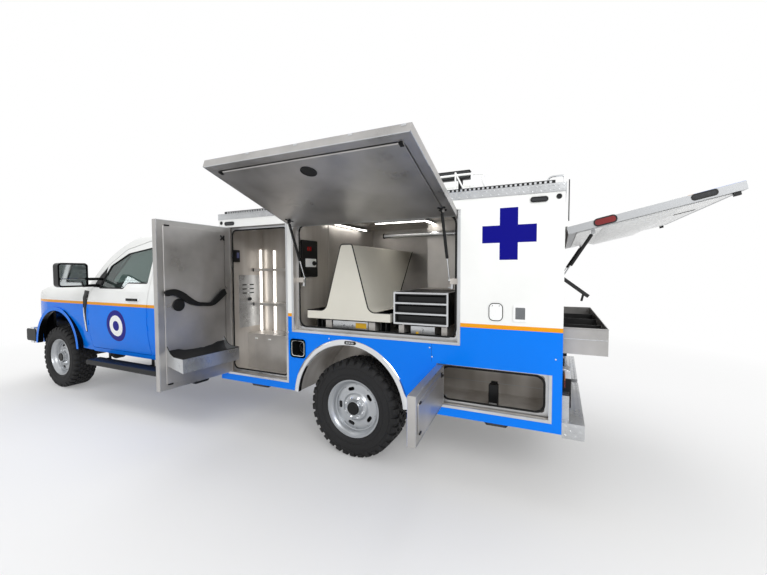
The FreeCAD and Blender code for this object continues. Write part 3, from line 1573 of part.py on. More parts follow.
seat_front_shares = (0.500, 0.703)
seat_back_shares = (0.466, 0.534)
head_rest_shares = (0.470, 0.517)
bench_shares = (0.0975, 0.309)
bench_back_shares = (0.051, 0.1186)
seat_y = 390
seat_half = 250
bench_half = 700
seat_top_z = 1130
back_low_z = 1000
seat_back_top_z = 1620
head_rest_z = (1600, 1780)
bench_back_top_z = 1600
head_rest_half = 130
seat_corner = 45
dash_setbacks = (400, 380, 320, 160, 100)
dash_heights = (1100, 1300, 1380, 1372, 1330, 1000)
dash_half = 780
dash_corner = 40
console_half = 150
console_top_z = 1050
column_radius = 30
column_low_z = 1180
steering_setback = 550
steering_z = 1290
steering_radius = 180
steering_grip = 14
steering_lean = V(-0.88, 0, 0.47)


def along_cab(shares):
    """X places at shares of the cab's run, from its tail to the cowl."""
    return tuple(cab_rear_x + cab_run * share for share in shares)


def cushion(xs, ys, zs):
    """A padded block, its corners no rounder than its thickness allows."""
    return rounded_box(xs, ys, zs, min(seat_corner, (xs[1] - xs[0]) / 3), Y_AXIS)


def cab_interior():
    base_z = cab_floor_z + cab_skin + tiny
    seats = []
    for y in (-seat_y, seat_y):
        across = (y - seat_half, y + seat_half)
        base = cushion(along_cab(seat_front_shares), across, (base_z, seat_top_z))
        back = cushion(along_cab(seat_back_shares), across, (back_low_z, seat_back_top_z))
        rest = cushion(along_cab(head_rest_shares), (y - head_rest_half, y + head_rest_half),
                       head_rest_z)
        seats.append(union([base, back, rest]))
    across = (-bench_half, bench_half)
    bench = cushion(along_cab(bench_shares), across, (base_z, seat_top_z))
    bench_back = cushion(along_cab(bench_back_shares), across, (back_low_z, bench_back_top_z))
    seats.append(union([bench, bench_back]))
    save("seats", group(seats))
    near, bend, brow, far, back_x = [cowl_x - setback for setback in dash_setbacks]
    heights = dash_heights
    dash = prism_xz([(near, heights[0]), (bend, heights[1], dash_corner),
                     (brow, heights[2], dash_corner), (far, heights[3]), (back_x, heights[4]),
                     (back_x, heights[5]), (brow, heights[5])], -dash_half, dash_half)
    console = box((brow, back_x), (-console_half, console_half), (base_z, console_top_z))
    middle = V(cowl_x - steering_setback, seat_y, steering_z)
    column = rod(V(brow, seat_y, column_low_z), middle, column_radius)
    ring = Part.makeTorus(steering_radius, steering_grip, middle, steering_lean)
    spoke = rod(middle - V(0, steering_radius, 0), middle + V(0, steering_radius, 0),
                steering_grip)
    save("dashboard", union([dash, console, column, ring, spoke]))


# Driveline, tank, exhaust and engine below the cab and the body

engine_lead = 320
engine_nose = 400
engine_half = 300
engine_foot = 40
engine_top_z = 1150
engine_rear_x = cowl_x + engine_lead
mount_span = (-67, 33)
mount_height = 40
gearbox_radius = 130
gearbox_length = 900
gearbox_zs = (640, 620)
transfer_setbacks = (1220, 880)
transfer_y = (-200, 160)
transfer_z = (500, 680)
shaft_radius = 42
shaft_zs = (600, 440)
shaft_lap = 20
shaft_end_gap = 4
tank_lead = 290
tank_length = 530
tank_inset = 90
tank_lift = 49
tank_corner = 60
strap_width = 40
strap_height = 20
strap_x_shares = (0.19, 0.735)
pipe_y = -260
pipe_radius = 38
pipe_zs = (560, 520)
pipe_setback = 300
can_radius = 105
can_length = 700
can_lead = 70
tail_radius = 32
tail_low_z = 440
tail_steps = (110, 190)
tail_side_y = -420
tail_end_gap = 40
hanger_back = 380
hanger_width = 40
hanger_reach = (30, 10)
hanger_low_z = 500


def underside():
    case = rod(V(engine_rear_x - rail_gauge / 9, 0, gearbox_zs[0]),
               V(engine_rear_x - gearbox_length, 0, gearbox_zs[1]), gearbox_radius)
    transfer_x = tuple(engine_rear_x - setback for setback in transfer_setbacks)
    transfer = box(transfer_x, transfer_y, transfer_z)
    shaft = rod(V(transfer_x[0] + shaft_lap, 0, shaft_zs[0]),
                V(axle_case_radius + shaft_end_gap, 0, shaft_zs[1]), shaft_radius)
    save("driveline", union([case, transfer, shaft]))
    tank_low = body_rear_x + tank_lead
    tank = rounded_box((tank_low, tank_low + tank_length),
                       (-rail_outer_y + tank_inset, rail_outer_y - tank_inset),
                       (rail_bottom_z + tank_lift, rail_bottom_z + rail_height), tank_corner,
                       X_AXIS)
    strap_xs = [tank_low + tank_length * share for share in strap_x_shares]
    edge = rail_outer_y - rail_flange - tiny
    top = rail_bottom_z + rail_height
    straps = [box((x, x + strap_width), (-edge, edge), (top - strap_height, top))
              for x in strap_xs]
    save("fuel_tank", union([tank] + straps))
    can_x = body_front_x + can_lead
    tail_x = can_x - can_length
    pipe = rod(V(engine_rear_x - pipe_setback, pipe_y, pipe_zs[0]), V(can_x, pipe_y, pipe_zs[1]),
               pipe_radius)
    can = rod(V(can_x, pipe_y, pipe_zs[1]), V(tail_x, pipe_y, pipe_zs[1]), can_radius)
    out_x = tail_x + rail_gauge - tail_steps[1]
    route = [V(tail_x + rail_gauge, pipe_y, pipe_zs[1]),
             V(tail_x + rail_gauge - tail_steps[0], (pipe_y + tail_side_y) / 2, tail_low_z),
             V(out_x, tail_side_y, tail_low_z),
             V(out_x, -body_half_width + tail_end_gap, tail_low_z)]
    tail = [rod(start, end, tail_radius) for start, end in zip(route, route[1:])]
    tail += [Part.makeSphere(tail_radius, joint) for joint in route[1:-1]]
    hanger = box((can_x - hanger_back, can_x - hanger_back + hanger_width),
                 (-edge - hanger_reach[0], -edge + hanger_reach[1]),
                 (hanger_low_z, rail_bottom_z - tiny))
    save("exhaust", union([pipe, can, hanger] + tail))


def engine_block():
    block = box((engine_rear_x, wheelbase + engine_nose), (-engine_half, engine_half),
                (rail_bottom_z + engine_foot, engine_top_z))
    edge = rail_outer_y - rail_flange - tiny
    top = rail_bottom_z + rail_height
    mount = box(tuple(wheelbase + place for place in mount_span), (-edge, edge),
                (top - mount_height, top))
    save("engine_block", union([block, mount]))


cab_parts()
nose_parts()
front_end()
front_bumper()
running_boards()
service_body()
body_doors()
rear_hatch()
struts()
hump_tray()
drawer_cabinet()
slide_rails()
rear_drawer()
body_trim()
rear_bumper()
roof_rack()
roof_lights()
marker_lamps()
locker_shelves()
cab_interior()
underside()
wheels()
chassis_frame()
rear_axle()
front_axle()
save("knuckle_left", knuckle(1))
save("knuckle_right", knuckle(-1))
engine_block()
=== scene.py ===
import json
import math
import bmesh
import bpy
from mathutils import Matrix, Vector
from mathutils.bvhtree import BVHTree
from mathutils.geometry import tessellate_polygon


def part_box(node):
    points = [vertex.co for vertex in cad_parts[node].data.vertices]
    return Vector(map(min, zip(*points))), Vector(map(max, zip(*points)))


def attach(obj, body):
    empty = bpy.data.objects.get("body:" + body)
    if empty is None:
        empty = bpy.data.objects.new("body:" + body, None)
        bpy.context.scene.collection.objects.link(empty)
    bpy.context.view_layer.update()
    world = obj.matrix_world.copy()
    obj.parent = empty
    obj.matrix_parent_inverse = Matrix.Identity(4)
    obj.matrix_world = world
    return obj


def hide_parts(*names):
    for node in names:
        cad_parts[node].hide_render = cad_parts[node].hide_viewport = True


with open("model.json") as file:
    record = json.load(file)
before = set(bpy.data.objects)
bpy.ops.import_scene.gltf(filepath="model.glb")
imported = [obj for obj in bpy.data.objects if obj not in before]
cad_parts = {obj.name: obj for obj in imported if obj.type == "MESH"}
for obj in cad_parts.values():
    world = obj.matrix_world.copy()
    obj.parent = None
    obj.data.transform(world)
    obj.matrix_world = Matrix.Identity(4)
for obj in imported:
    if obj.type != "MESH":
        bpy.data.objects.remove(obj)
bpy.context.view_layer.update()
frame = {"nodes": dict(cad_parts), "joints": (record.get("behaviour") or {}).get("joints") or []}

# An ambulance: a crew-cab truck with a compartment body, its doors standing open.
# Metres, in the frame of the CAD model: X forward, Y to the vehicle's left, Z up.

scene = bpy.context.scene
nodes = frame["nodes"]
joints = {joint["name"]: joint for joint in frame["joints"]}


def middle(node):
    low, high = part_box(node)
    return (Vector(low) + Vector(high)) / 2


rear_axle_x = middle("tyre_rear_left").x
wheelbase = middle("tyre_front_left").x - rear_axle_x
wheel_z = middle("rim_rear_left").z
rear_wheel_y = middle("tyre_rear_left").y
front_wheel_y = middle("tyre_front_left").y
tyre_half = (Vector(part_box("tyre_rear_left")[1]) - Vector(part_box("tyre_rear_left")[0])) / 2
tyre_radius = tyre_half.x
tyre_width = 2 * tyre_half.y

# Places are X from the rear axle, Y to the left and Z up, as in the CAD model

side_y = 1.05
body_rear = -1.58
body_front = 1.43
roof_z = 2.1
stripe_low = 1.172
stripe_high = 1.2
cab_stripe_low = 1.16
cab_stripe_high = cab_stripe_low + 0.034
door_thick = 0.047
front_locker = ((0.622, 1.336), (0.6, 1.985))
rear_locker = ((-1.501, -0.753), (0.6, 0.895))
lift_bay = ((-0.905, 0.538), (1.058, 1.995))
hatch_half = 0.9
hatch_z = (0.93, 1.85)
hatch_face = -1.59
arch_z = 0.47
arch_radius = 0.494
arch_width = 0.045
eps = 0.0004


# Colours as they are seen, turned into the linear values that the shaders take

def linear(channel):
    return channel / 12.92 if channel <= 0.04045 else ((channel + 0.055) / 1.055) ** 2.4


def colour(code):
    parts = [int(code[i:i + 2], 16) / 255 for i in (1, 3, 5)]
    return tuple(linear(p) for p in parts) + (1,)


white = colour("#EEEFED")
blue = colour("#0078EC")
orange = colour("#E79A1B")


# Material helpers

class Nodes:
    """A new material with its shader, and short ways to add nodes to it."""

    def __init__(self, name, base, roughness, metallic=0.0, **extra):
        self.material = bpy.data.materials.new(name)
        self.material.use_nodes = True
        self.tree = self.material.node_tree
        self.shader = self.tree.nodes["Principled BSDF"]
        self.shade(Base_Color=base, Roughness=roughness, Metallic=metallic, **extra)

    def set(self, socket, value):
        """Gives a socket a value of its own, or links it to another socket."""
        if isinstance(value, bpy.types.NodeSocket):
            self.tree.links.new(value, socket)
        else:
            socket.default_value = value

    def fill(self, node, **inputs):
        """Sets a node's inputs by their names, with _ for a blank."""
        for name, value in inputs.items():
            self.set(node.inputs[name.replace("_", " ")], value)
        return node

    def shade(self, **inputs):
        self.fill(self.shader, **inputs)

    def add(self, kind, **settings):
        node = self.tree.nodes.new(kind)
        for key, value in settings.items():
            setattr(node, key, value)
        return node

    def place(self, scale=(1, 1, 1)):
        """Coordinates fixed to the piece, in metres, times a scale."""
        coords = self.add("ShaderNodeTexCoord").outputs["Object"]
        if scale == (1, 1, 1):
            return coords
        mapping = self.fill(self.add("ShaderNodeMapping"), Scale=scale, Vector=coords)
        return mapping.outputs["Vector"]

    def split(self, vector):
        node = self.fill(self.add("ShaderNodeSeparateXYZ"), Vector=vector)
        return [node.outputs[axis] for axis in "XYZ"]

    def noise(self, vector, scale, detail=2.0, rough=0.5):
        node = self.fill(self.add("ShaderNodeTexNoise"), Scale=scale, Detail=detail,
                         Roughness=rough, Vector=vector)
        return node.outputs["Fac"]

    def spread(self, value, low, high, span=(0.3, 0.7)):
        """A value carried from one span to another."""
        node = self.fill(self.add("ShaderNodeMapRange"), From_Min=span[0], From_Max=span[1],
                         To_Min=low, To_Max=high, Value=value)
        return node.outputs["Result"]

    def math(self, operation, *values):
        node = self.add("ShaderNodeMath", operation=operation)
        for socket, value in zip(node.inputs, values):
            self.set(socket, value)
        return node.outputs["Value"]

    def mix(self, factor, first, second, **settings):
        node = self.add("ShaderNodeMix", data_type="RGBA", **settings)
        sockets = [s for s in node.inputs if s.enabled]
        for socket, value in zip(sockets, (factor, first, second)):
            self.set(socket, value)
        return [s for s in node.outputs if s.enabled][0]

    def bump(self, height, strength, distance):
        node = self.fill(self.add("ShaderNodeBump"), Strength=strength, Distance=distance,
                         Height=height)
        self.shade(Normal=node.outputs["Normal"])


def darker(base, share):
    return tuple(channel * share for channel in base[:3]) + (1,)


def varied(name, base, roughness, metallic=0.0, grain=60.0, depth=0.0006, strength=0.2,
           tint=0.06, **extra):
    """A surface with uneven gloss, a faint tint and a fine relief."""
    kit = Nodes(name, base, roughness, metallic, **extra)
    fine = kit.noise(kit.place(), grain, 4.0, 0.6)
    broad = kit.noise(kit.place(), 2.3, 3.0)
    kit.shade(Base_Color=kit.mix(kit.spread(broad, 0, 1), darker(base, 1 - tint * 2), base),
              Roughness=kit.spread(fine, max(roughness - 0.07, 0.02), roughness + 0.07))
    kit.bump(fine, strength, depth)
    return kit.material


def paint(name, low, high, turn=None, bare=False, dark=None):
    """Two colours with a stripe between, by height on the shut panel.

    turn is the point, axis and angle that take the panel from where it stands to shut;
    bare leaves all but the outside of the body as sheet metal;
    dark names the part of a cab panel that is black plastic.
    """
    kit = Nodes(name, white, 0.22, Specular_IOR_Level=0.12, Coat_Weight=0.03,
                Coat_Roughness=0.06)
    where = kit.place()
    if turn:
        node = kit.add("ShaderNodeVectorRotate", rotation_type="AXIS_ANGLE")
        kit.fill(node, Center=turn[0], Axis=turn[1], Angle=turn[2], Vector=where)
        where = node.outputs["Vector"]
    spots = kit.split(where)
    lower = kit.mix(kit.math("GREATER_THAN", spots[2], low), blue, orange)
    tone = kit.mix(kit.math("GREATER_THAN", spots[2], high), lower, white)
    dust = kit.spread(kit.noise(kit.place(), 3.1, 5.0), 0.95, 1.0)
    result = kit.mix(1.0, tone, dust, blend_type="MULTIPLY")
    if bare:
        inside = bare_part(kit, spots)
        streaks = kit.noise(kit.place((5, 5, 0.5)), 1.7, 2.0, 0.4)
        sheet = kit.mix(kit.spread(streaks, 0, 1), colour("#B5AFA8"), colour("#D2CEC9"))
        result = kit.mix(inside, result, sheet)
        kit.shade(Metallic=kit.math("MULTIPLY", inside, 0.6),
                  Roughness=kit.spread(inside, 0.22, 0.36, (0, 1)))
    if dark:
        result = kit.mix(dark_part(kit, spots, dark), result, colour("#08090A"))
    kit.shade(Base_Color=result)
    kit.bump(kit.noise(kit.place(), 260.0, 1.0), 0.04, 0.0004)
    return kit.material


def bare_part(kit, spots):
    """One on what lies within the body, nought on its outer faces."""
    skin_depth = 0.0015
    outside = kit.math("GREATER_THAN", kit.math("ABSOLUTE", spots[1]), side_y - skin_depth)
    for spot, test, limit in ((spots[0], "LESS_THAN", rear_axle_x + body_rear + skin_depth),
                              (spots[0], "GREATER_THAN", rear_axle_x + body_front - skin_depth),
                              (spots[2], "GREATER_THAN", roof_z - skin_depth)):
        outside = kit.math("MAXIMUM", outside, kit.math(test, spot, limit))
    return kit.math("SUBTRACT", 1.0, outside)


def dark_part(kit, spots, which):
    """One where a cab panel is black: mirrors, handles and sail, or within the arch."""
    along, across, height = spots
    if which == "door":
        sail = kit.math("MULTIPLY", kit.math("GREATER_THAN", along, rear_axle_x + 3.53),
                        kit.math("GREATER_THAN", height, 1.375))
        proud = kit.math("GREATER_THAN", kit.math("ABSOLUTE", across), 1.0165)
        return kit.math("MAXIMUM", sail, proud)
    facing = kit.split(kit.add("ShaderNodeNewGeometry").outputs["Normal"])
    outward = kit.math("MULTIPLY", facing[1], kit.math("SIGN", across))
    low = kit.math("MULTIPLY", kit.math("LESS_THAN", height, 1.06),
                   kit.math("LESS_THAN", along, rear_axle_x + wheelbase + 0.72))
    return kit.math("MULTIPLY", low, kit.math("LESS_THAN", outward, 0.25))


def brushed(name, base, roughness, along=(1.5, 60, 60), metallic=0.9, cells=None):
    """Sheet metal with fine scratches along one way and cloudy reflections."""
    kit = Nodes(name, base, roughness, metallic)
    scratches = kit.noise(kit.place(along), 22.0, 5.0, 0.7)
    clouds = kit.noise(kit.place(), 3.0, 4.0, 0.55)
    swirls = kit.fill(kit.add("ShaderNodeTexVoronoi"), Scale=16.0, Vector=kit.place())
    both = kit.math("ADD", kit.spread(clouds, 0, 0.16), kit.spread(scratches, 0, 0.1))
    both = kit.math("ADD", both, kit.spread(swirls.outputs["Distance"], 0, 0.05, (0, 1)))
    kit.shade(Base_Color=kit.mix(kit.spread(clouds, 0, 1), darker(base, 0.72), base),
              Roughness=kit.math("ADD", both, roughness - 0.1))
    kit.bump(scratches, 0.12, 0.0006)
    if cells:
        dark_cells(kit, *cells)
    return kit.material


def dark_cells(kit, xs, half, floor_z):
    """Turns a drawer's metal to a dark lining within the span and above the floor."""
    x, y, z = kit.split(kit.place())
    mask = kit.math("GREATER_THAN", x, rear_axle_x + xs[0])
    for test, spot, limit in (("LESS_THAN", x, rear_axle_x + xs[1]),
                              ("LESS_THAN", kit.math("ABSOLUTE", y), half),
                              ("GREATER_THAN", z, floor_z[0]), ("LESS_THAN", z, floor_z[1])):
        mask = kit.math("MULTIPLY", mask, kit.math(test, spot, limit))
    base = kit.shader.inputs["Base Color"].links[0].from_socket
    kit.shade(Base_Color=kit.mix(mask, base, colour("#1A1A1B")),
              Metallic=kit.math("MULTIPLY", kit.math("SUBTRACT", 1.0, mask), 0.82))


def clear_glass(name, tint, roughness):
    kit = Nodes(name, tint, roughness, Transmission_Weight=0.92, IOR=1.45)
    kit.bump(kit.noise(kit.place(), 1.4, 1.0), 0.02, 0.01)
    return kit.material


def shut_turn(joint_name):
    """The point, axis and angle that take a door from where it stands to shut."""
    joint = joints[joint_name]
    return (Vector(joint["pos_m"]), Vector(joint["axis"]), math.radians(joint["range_deg"][0]))


# Finish: material, colour, roughness, metallic, grain, depth and strength of relief, tint
uneven = {
    "hatch": ("hatch_grey", "#A9ABAD", 0.4, 0.3, 120, 0.0003, 0.08, 0.04),
    "wheel": ("wheel_steel", "#B9BCBF", 0.34, 0.75, 180, 0.0004, 0.1),
    "chrome": ("chrome", "#DADCDE", 0.09, 1.0, 8, 0.0004, 0.03, 0.02),
    "tyre": ("tyre_rubber", "#161617", 0.78, 0.0, 320, 0.0008, 0.5, 0.12),
    "black": ("black_plastic", "#0D0E0F", 0.45, 0.0, 420, 0.0004, 0.35, 0.08),
    "seal": ("rubber_seal", "#0A0A0B", 0.6, 0.0, 240, 0.0004, 0.3, 0.08),
    "frame": ("chassis_black", "#141518", 0.55, 0.1, 140, 0.0007, 0.4, 0.15),
    "cast": ("cast_iron", "#2C2C2D", 0.68, 0.5, 150, 0.0012, 0.6, 0.18),
    "cloth": ("seat_cloth", "#55575B", 0.9, 0.0, 700, 0.0012, 0.7, 0.08),
    "cream": ("tray_board", "#DAD7CB", 0.62, 0.0, 40, 0.0005, 0.12, 0.05),
    "badge_blue": ("badge_blue", "#050580", 0.35, 0.0, 60, 0.0003, 0.05, 0.04),
    "badge_white": ("badge_white", "#F0F1F0", 0.3, 0.0, 60, 0.0003, 0.05, 0.01),
    "yellow": ("yellow_label", "#E3B21E", 0.5, 0.0, 60, 0.0003, 0.05, 0.04),
    "smoke_lens": ("smoke_lens", "#2B2D30", 0.12, 0.0, 140, 0.0006, 0.3, 0.1),
    "amber_lens": ("amber_lens", "#B8661A", 0.15, 0.0, 140, 0.0006, 0.3, 0.1),
    "screen": ("display", "#A01818", 0.2, 0.0, 90, 0.0003, 0.05, 0.1),
    "red_lens": ("red_lens", "#7E1517", 0.18, 0.0, 90, 0.0005, 0.2, 0.1),
    "blue_screen": ("blue_display", "#5B5F86", 0.2, 0.0, 90, 0.0003, 0.05, 0.1),
    "grey_plastic": ("grey_plastic", "#8C8F92", 0.5, 0.0, 240, 0.0004, 0.2, 0.05),
    "mirror": ("mirror_face", "#D5DADC", 0.03, 1.0, 6, 0.0002, 0.02, 0.01),
    "lit": ("lamp_strip", "#F4F4F0", 0.3, 0.0, 60, 0.0003, 0.05, 0.01),
    "ceiling_lit": ("ceiling_lamp", "#F4F4F0", 0.3, 0.0, 60, 0.0003, 0.05, 0.01),
}
lamp_tone = (1, 0.96, 0.91, 1)
extras = {"black": {"Specular_IOR_Level": 0.3}, "seal": {"Specular_IOR_Level": 0.3},
          "badge_blue": {"Specular_IOR_Level": 0.12},
          "lit": {"Emission_Color": lamp_tone, "Emission_Strength": 2.6},
          "ceiling_lit": {"Emission_Color": lamp_tone, "Emission_Strength": 13.0}}
upright = (60, 60, 1.5)
drawer_cells = ((-1.842, -1.298), 0.815, (1.004, 1.178))
skin = {"body": paint("body_paint", stripe_low, stripe_high, bare=True)}
for finish, part in (("cab", None), ("cab_door", "door"), ("fender", "arch")):
    skin[finish] = paint(finish + "_paint", cab_stripe_low, cab_stripe_high, dark=part)
for finish, name, code, *values in (
        ("door_alloy", "door_alloy", "#BCBAB8", 0.3, upright, 0.82),
        ("inner_alloy", "inner_alloy", "#CFCBC6", 0.34, upright, 0.55),
        ("drawer", "drawer_alloy", "#BCBAB8", 0.3, upright, 0.82, drawer_cells),
        ("plate", "diamond_plate", "#C9CBCD", 0.25),
        ("edge", "edge_alloy", "#D2D4D6", 0.26, (40, 40, 40))):
    skin[finish] = brushed(name, colour(code), *values)
for finish, (name, code, *values) in uneven.items():
    skin[finish] = varied(name, colour(code), *values, **extras.get(finish, {}))
skin["glass"] = clear_glass("window_glass", colour("#8FA09C"), 0.02)
skin["lens"] = clear_glass("lamp_lens", colour("#DDE3E8"), 0.06)


# CAD nodes that keep their shape get their finish here; a star stands for left and right

finishes = {
    "body": "service_body roof_rack",
    "cab": "cab_shell hood",
    "fender": "front_fenders",
    "cab_door": "cab_door_front_* cab_door_rear_*",
    "door_alloy": "lift_door_* front_locker_door_* rear_locker_door_*",
    "hatch": "rear_hatch",
    "drawer": "rear_drawer",
    "inner_alloy": "slide_rails locker_shelves exhaust",
    "plate": "body_trim rear_bumper",
    "cream": "hump_tray",
    "black": "drawer_cabinet dashboard running_boards roof_lights lift_strut_tubes_* "
             "hatch_strut_tubes",
    "chrome": "front_bumper grille lift_strut_rods_* hatch_strut_rods",
    "wheel": "rim_front_* rim_rear_*",
    "tyre": "tyre_front_* tyre_rear_*",
    "frame": "chassis_frame fuel_tank",
    "cast": "front_axle rear_axle knuckle_* driveline engine_block",
    "cloth": "seats",
    "red_lens": "marker_lamps",
    "glass": "cab_glass glass_front_* glass_rear_*",
    "lens": "head_lamps",
}


def finish_nodes():
    for finish, names in finishes.items():
        for name in names.split():
            for word in ("left", "right") if "*" in name else ("",):
                mesh = nodes[name.replace("*", word)].data
                mesh.materials.clear()
                mesh.materials.append(skin[finish])


finish_nodes()


# Shape helpers

full_turn = 2 * math.pi
slots = {"inner_alloy": "edge cream", "body_paint": "body badge_blue badge_white yellow",
         "lamp": "smoke_lens lit ceiling_lit red_lens amber_lens screen blue_screen",
         "cab_paint": "cab", "wheel_steel": "wheel", "bright": "chrome mirror",
         "tyre_rubber": "tyre", "black_plastic": "black seal grey_plastic", "steel": "frame",
         "grey_cloth": "cloth", "window": "glass", "head_lens": "lens"}
slot_of = {finish: slot for slot, names in slots.items() for finish in names.split()}


def arc(centre, radius, start, end, steps):
    """Points on an arc in a plane, angles in degrees."""
    turns = [math.radians(start + (end - start) * i / steps) for i in range(steps + 1)]
    return [(centre[0] + radius * math.cos(t), centre[1] + radius * math.sin(t)) for t in turns]


def inset(span, amount):
    low, high = sorted(span)
    return (low + amount, high - amount)


def about(centre, half):
    return (centre - half, centre + half)


def rounded(first, second, radius, steps=5, edge=0.0):
    """A rectangle with round corners from its two spans, drawn in by edge."""
    (low_a, high_a), (low_b, high_b) = inset(first, edge), inset(second, edge)
    points = []
    for turn, corner in enumerate(((high_a - radius, high_b - radius),
                                   (low_a + radius, high_b - radius),
                                   (low_a + radius, low_b + radius),
                                   (high_a - radius, low_b + radius))):
        points += arc(corner, radius, turn * 90, turn * 90 + 90, steps)
    return points


class Shape:
    """Vertices and faces gathered from simple forms."""

    def __init__(self):
        self.points = []
        self.faces = []

    def add(self, points, faces):
        first = len(self.points)
        self.points += [Vector(point) for point in points]
        self.faces += [[first + index for index in face] for face in faces]
        return self

    def box(self, xs, ys, zs):
        corners = [(x, y, z) for x in xs for y in ys for z in zs]
        return self.add(corners, [(0, 1, 3, 2), (4, 6, 7, 5), (0, 4, 5, 1), (2, 3, 7, 6),
                                  (0, 2, 6, 4), (1, 5, 7, 3)])

    def plate(self, outline, axis, low, high, holes=()):
        """An outline, with holes, carried along an axis from low to high."""
        spot = {"X": lambda a, b, c: (c, a, b), "Y": lambda a, b, c: (a, c, b),
                "Z": lambda a, b, c: (a, b, c)}[axis]
        loops = [list(outline)] + [list(hole) for hole in holes]
        flat = [point for loop in loops for point in loop]
        count = len(flat)
        points = [spot(a, b, c) for c in (low, high) for a, b in flat]
        caps = [tuple(range(count))]
        if holes:
            caps = tessellate_polygon([[Vector((a, b, 0)) for a, b in loop] for loop in loops])
        faces = [tuple(cap) for cap in caps] + [tuple(i + count for i in cap) for cap in caps]
        first = 0
        for loop in loops:
            size = len(loop)
            for step in range(size):
                here, following = first + step, first + (step + 1) % size
                faces.append((here, following, following + count, here + count))
            first += size
        return self.add(points, faces)

    def loft(self, rings, closed=False):
        """Rings of equal count joined in a row, capped at the ends unless the row closes."""
        size = len(rings[0])
        rows = len(rings)
        faces = []
        for row in range(rows if closed else rows - 1):
            following = (row + 1) % rows
            for i in range(size):
                j = (i + 1) % size
                faces.append((row * size + i, row * size + j, following * size + j,
                              following * size + i))
        if not closed:
            faces += [tuple(range(size)), tuple((rows - 1) * size + i for i in range(size))]
        return self.add([point for ring in rings for point in ring], faces)

    def tube(self, path, radius, sides=12, closed=False):
        """A round bar along a path."""
        path = [Vector(point) for point in path]
        count = len(path)
        normal = None
        rings = []
        for index, point in enumerate(path):
            after = (index + 1) % count if closed else min(index + 1, count - 1)
            before = index - 1 if closed else max(index - 1, 0)
            ahead = path[after] - path[before]
            ahead.normalize()
            if normal is None:
                normal = ahead.orthogonal().normalized()
            else:
                normal = (normal - ahead * normal.dot(ahead)).normalized()
            across = ahead.cross(normal)
            rings.append([point + (normal * math.cos(t) + across * math.sin(t)) * radius
                          for t in (full_turn * i / sides for i in range(sides))])
        return self.loft(rings, closed)

    def drum(self, centre, axis, radius, length, sides=24, rim=0.0):
        """A short cylinder centred on a point, its edges cut back by rim."""
        half = length / 2
        outline = [(-half, 0), (-half, radius - rim), (-half + rim, radius),
                   (half - rim, radius), (half, radius - rim), (half, 0)]
        return self.lathe(outline, centre, axis, sides)

    def lathe(self, outline, centre=(0, 0, 0), axis="Y", steps=48, start=0, sweep=360):
        """An outline of places along an axis and radii, turned round that axis."""
        rings = []
        whole = sweep == 360
        for step in range(steps if whole else steps + 1):
            turn = math.radians(start + sweep * step / steps)
            ring = []
            for along, radius in outline:
                a, b = radius * math.cos(turn), radius * math.sin(turn)
                offset = {"X": (along, a, b), "Y": (a, along, b), "Z": (a, b, along)}[axis]
                ring.append(Vector(centre) + Vector(offset))
            rings.append(ring)
        return self.loft(rings, closed=whole)

    def join(self, other, matrix=None):
        points = [matrix @ point for point in other.points] if matrix else other.points
        return self.add(points, other.faces)


def turned(axis, degrees, centre=(0, 0, 0)):
    """A turn about an axis through a point."""
    spin = Matrix.Rotation(math.radians(degrees), 4, axis)
    return Matrix.Translation(centre) @ spin @ Matrix.Translation(-Vector(centre))


def opened(joint_name):
    """The turn that takes a door from shut to where it stands."""
    point, axis, angle = shut_turn(joint_name)
    return (Matrix.Translation(point) @ Matrix.Rotation(-angle, 4, axis)
            @ Matrix.Translation(-point))


def clean_mesh(mesh):
    work = bmesh.new()
    work.from_mesh(mesh)
    bmesh.ops.remove_doubles(work, verts=work.verts, dist=1e-6)
    bmesh.ops.dissolve_degenerate(work, edges=work.edges, dist=1e-7)
    bmesh.ops.recalc_face_normals(work, faces=work.faces)
    work.to_mesh(mesh)
    work.free()


def new_object(name, data):
    result = bpy.data.objects.new(name, data)
    scene.collection.objects.link(result)
    return result


def mesh_object(name, points, faces):
    mesh = bpy.data.meshes.new(name)
    mesh.from_pydata(points, [], faces)
    clean_mesh(mesh)
    return new_object(name, mesh)


smooth_below = math.radians(33)
bevel_above = math.radians(40)


def piece(name, shape, finish, body="truck", side=1, joint=None, stands_for=(), bevel=0.0,
          cuts=()):
    """A finished piece; side -1 mirrors it, joint opens it with its door."""
    flip, shift = Vector((1, side, 1)), Vector((rear_axle_x, 0, 0))
    points = [point * flip + shift for point in shape.points]
    if joint:
        turn = opened(joint)
        points = [turn @ point for point in points]
    result = mesh_object(name, points, shape.faces)
    result.data.materials.append(skin[finish])
    for cut in cuts:
        cut_away(result, [point * flip + shift for point in cut.points], cut.faces)
    mesh = result.data
    mesh.polygons.foreach_set("use_smooth", [True] * len(mesh.polygons))
    mesh.set_sharp_from_angle(angle=smooth_below)
    if bevel:
        edge = result.modifiers.new("edges", "BEVEL")
        edge.width = bevel
        edge.segments = 2
        edge.limit_method = "ANGLE"
        edge.angle_limit = bevel_above
        edge.harden_normals = True
    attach(result, body)
    for node in stands_for:
        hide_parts(node)
    return result


def cut_away(target, points, faces):
    """Takes a form out of a piece and keeps the result as its mesh."""
    cutter = mesh_object("cutter", points, faces)
    tool = target.modifiers.new("cut", "BOOLEAN")
    tool.object = cutter
    tool.operation = "DIFFERENCE"
    graph = bpy.context.evaluated_depsgraph_get()
    result = bpy.data.meshes.new_from_object(target.evaluated_get(graph))
    target.modifiers.clear()
    target.data = result
    bpy.data.objects.remove(cutter)


sides = (("left", 1), ("right", -1))


def pair(name, shape, finish, body="truck", door=None, **more):
    """A piece and its mirror image; a door's name opens them and takes them along."""
    for word, side in sides:
        joint = door + "_" + word if door else None
        piece(name + "_" + word, shape, finish, joint or body, side, joint, **more)


# Wheels: carcass, staggered tread blocks, slotted steel rim, nuts and cap

lug_pitches = 34


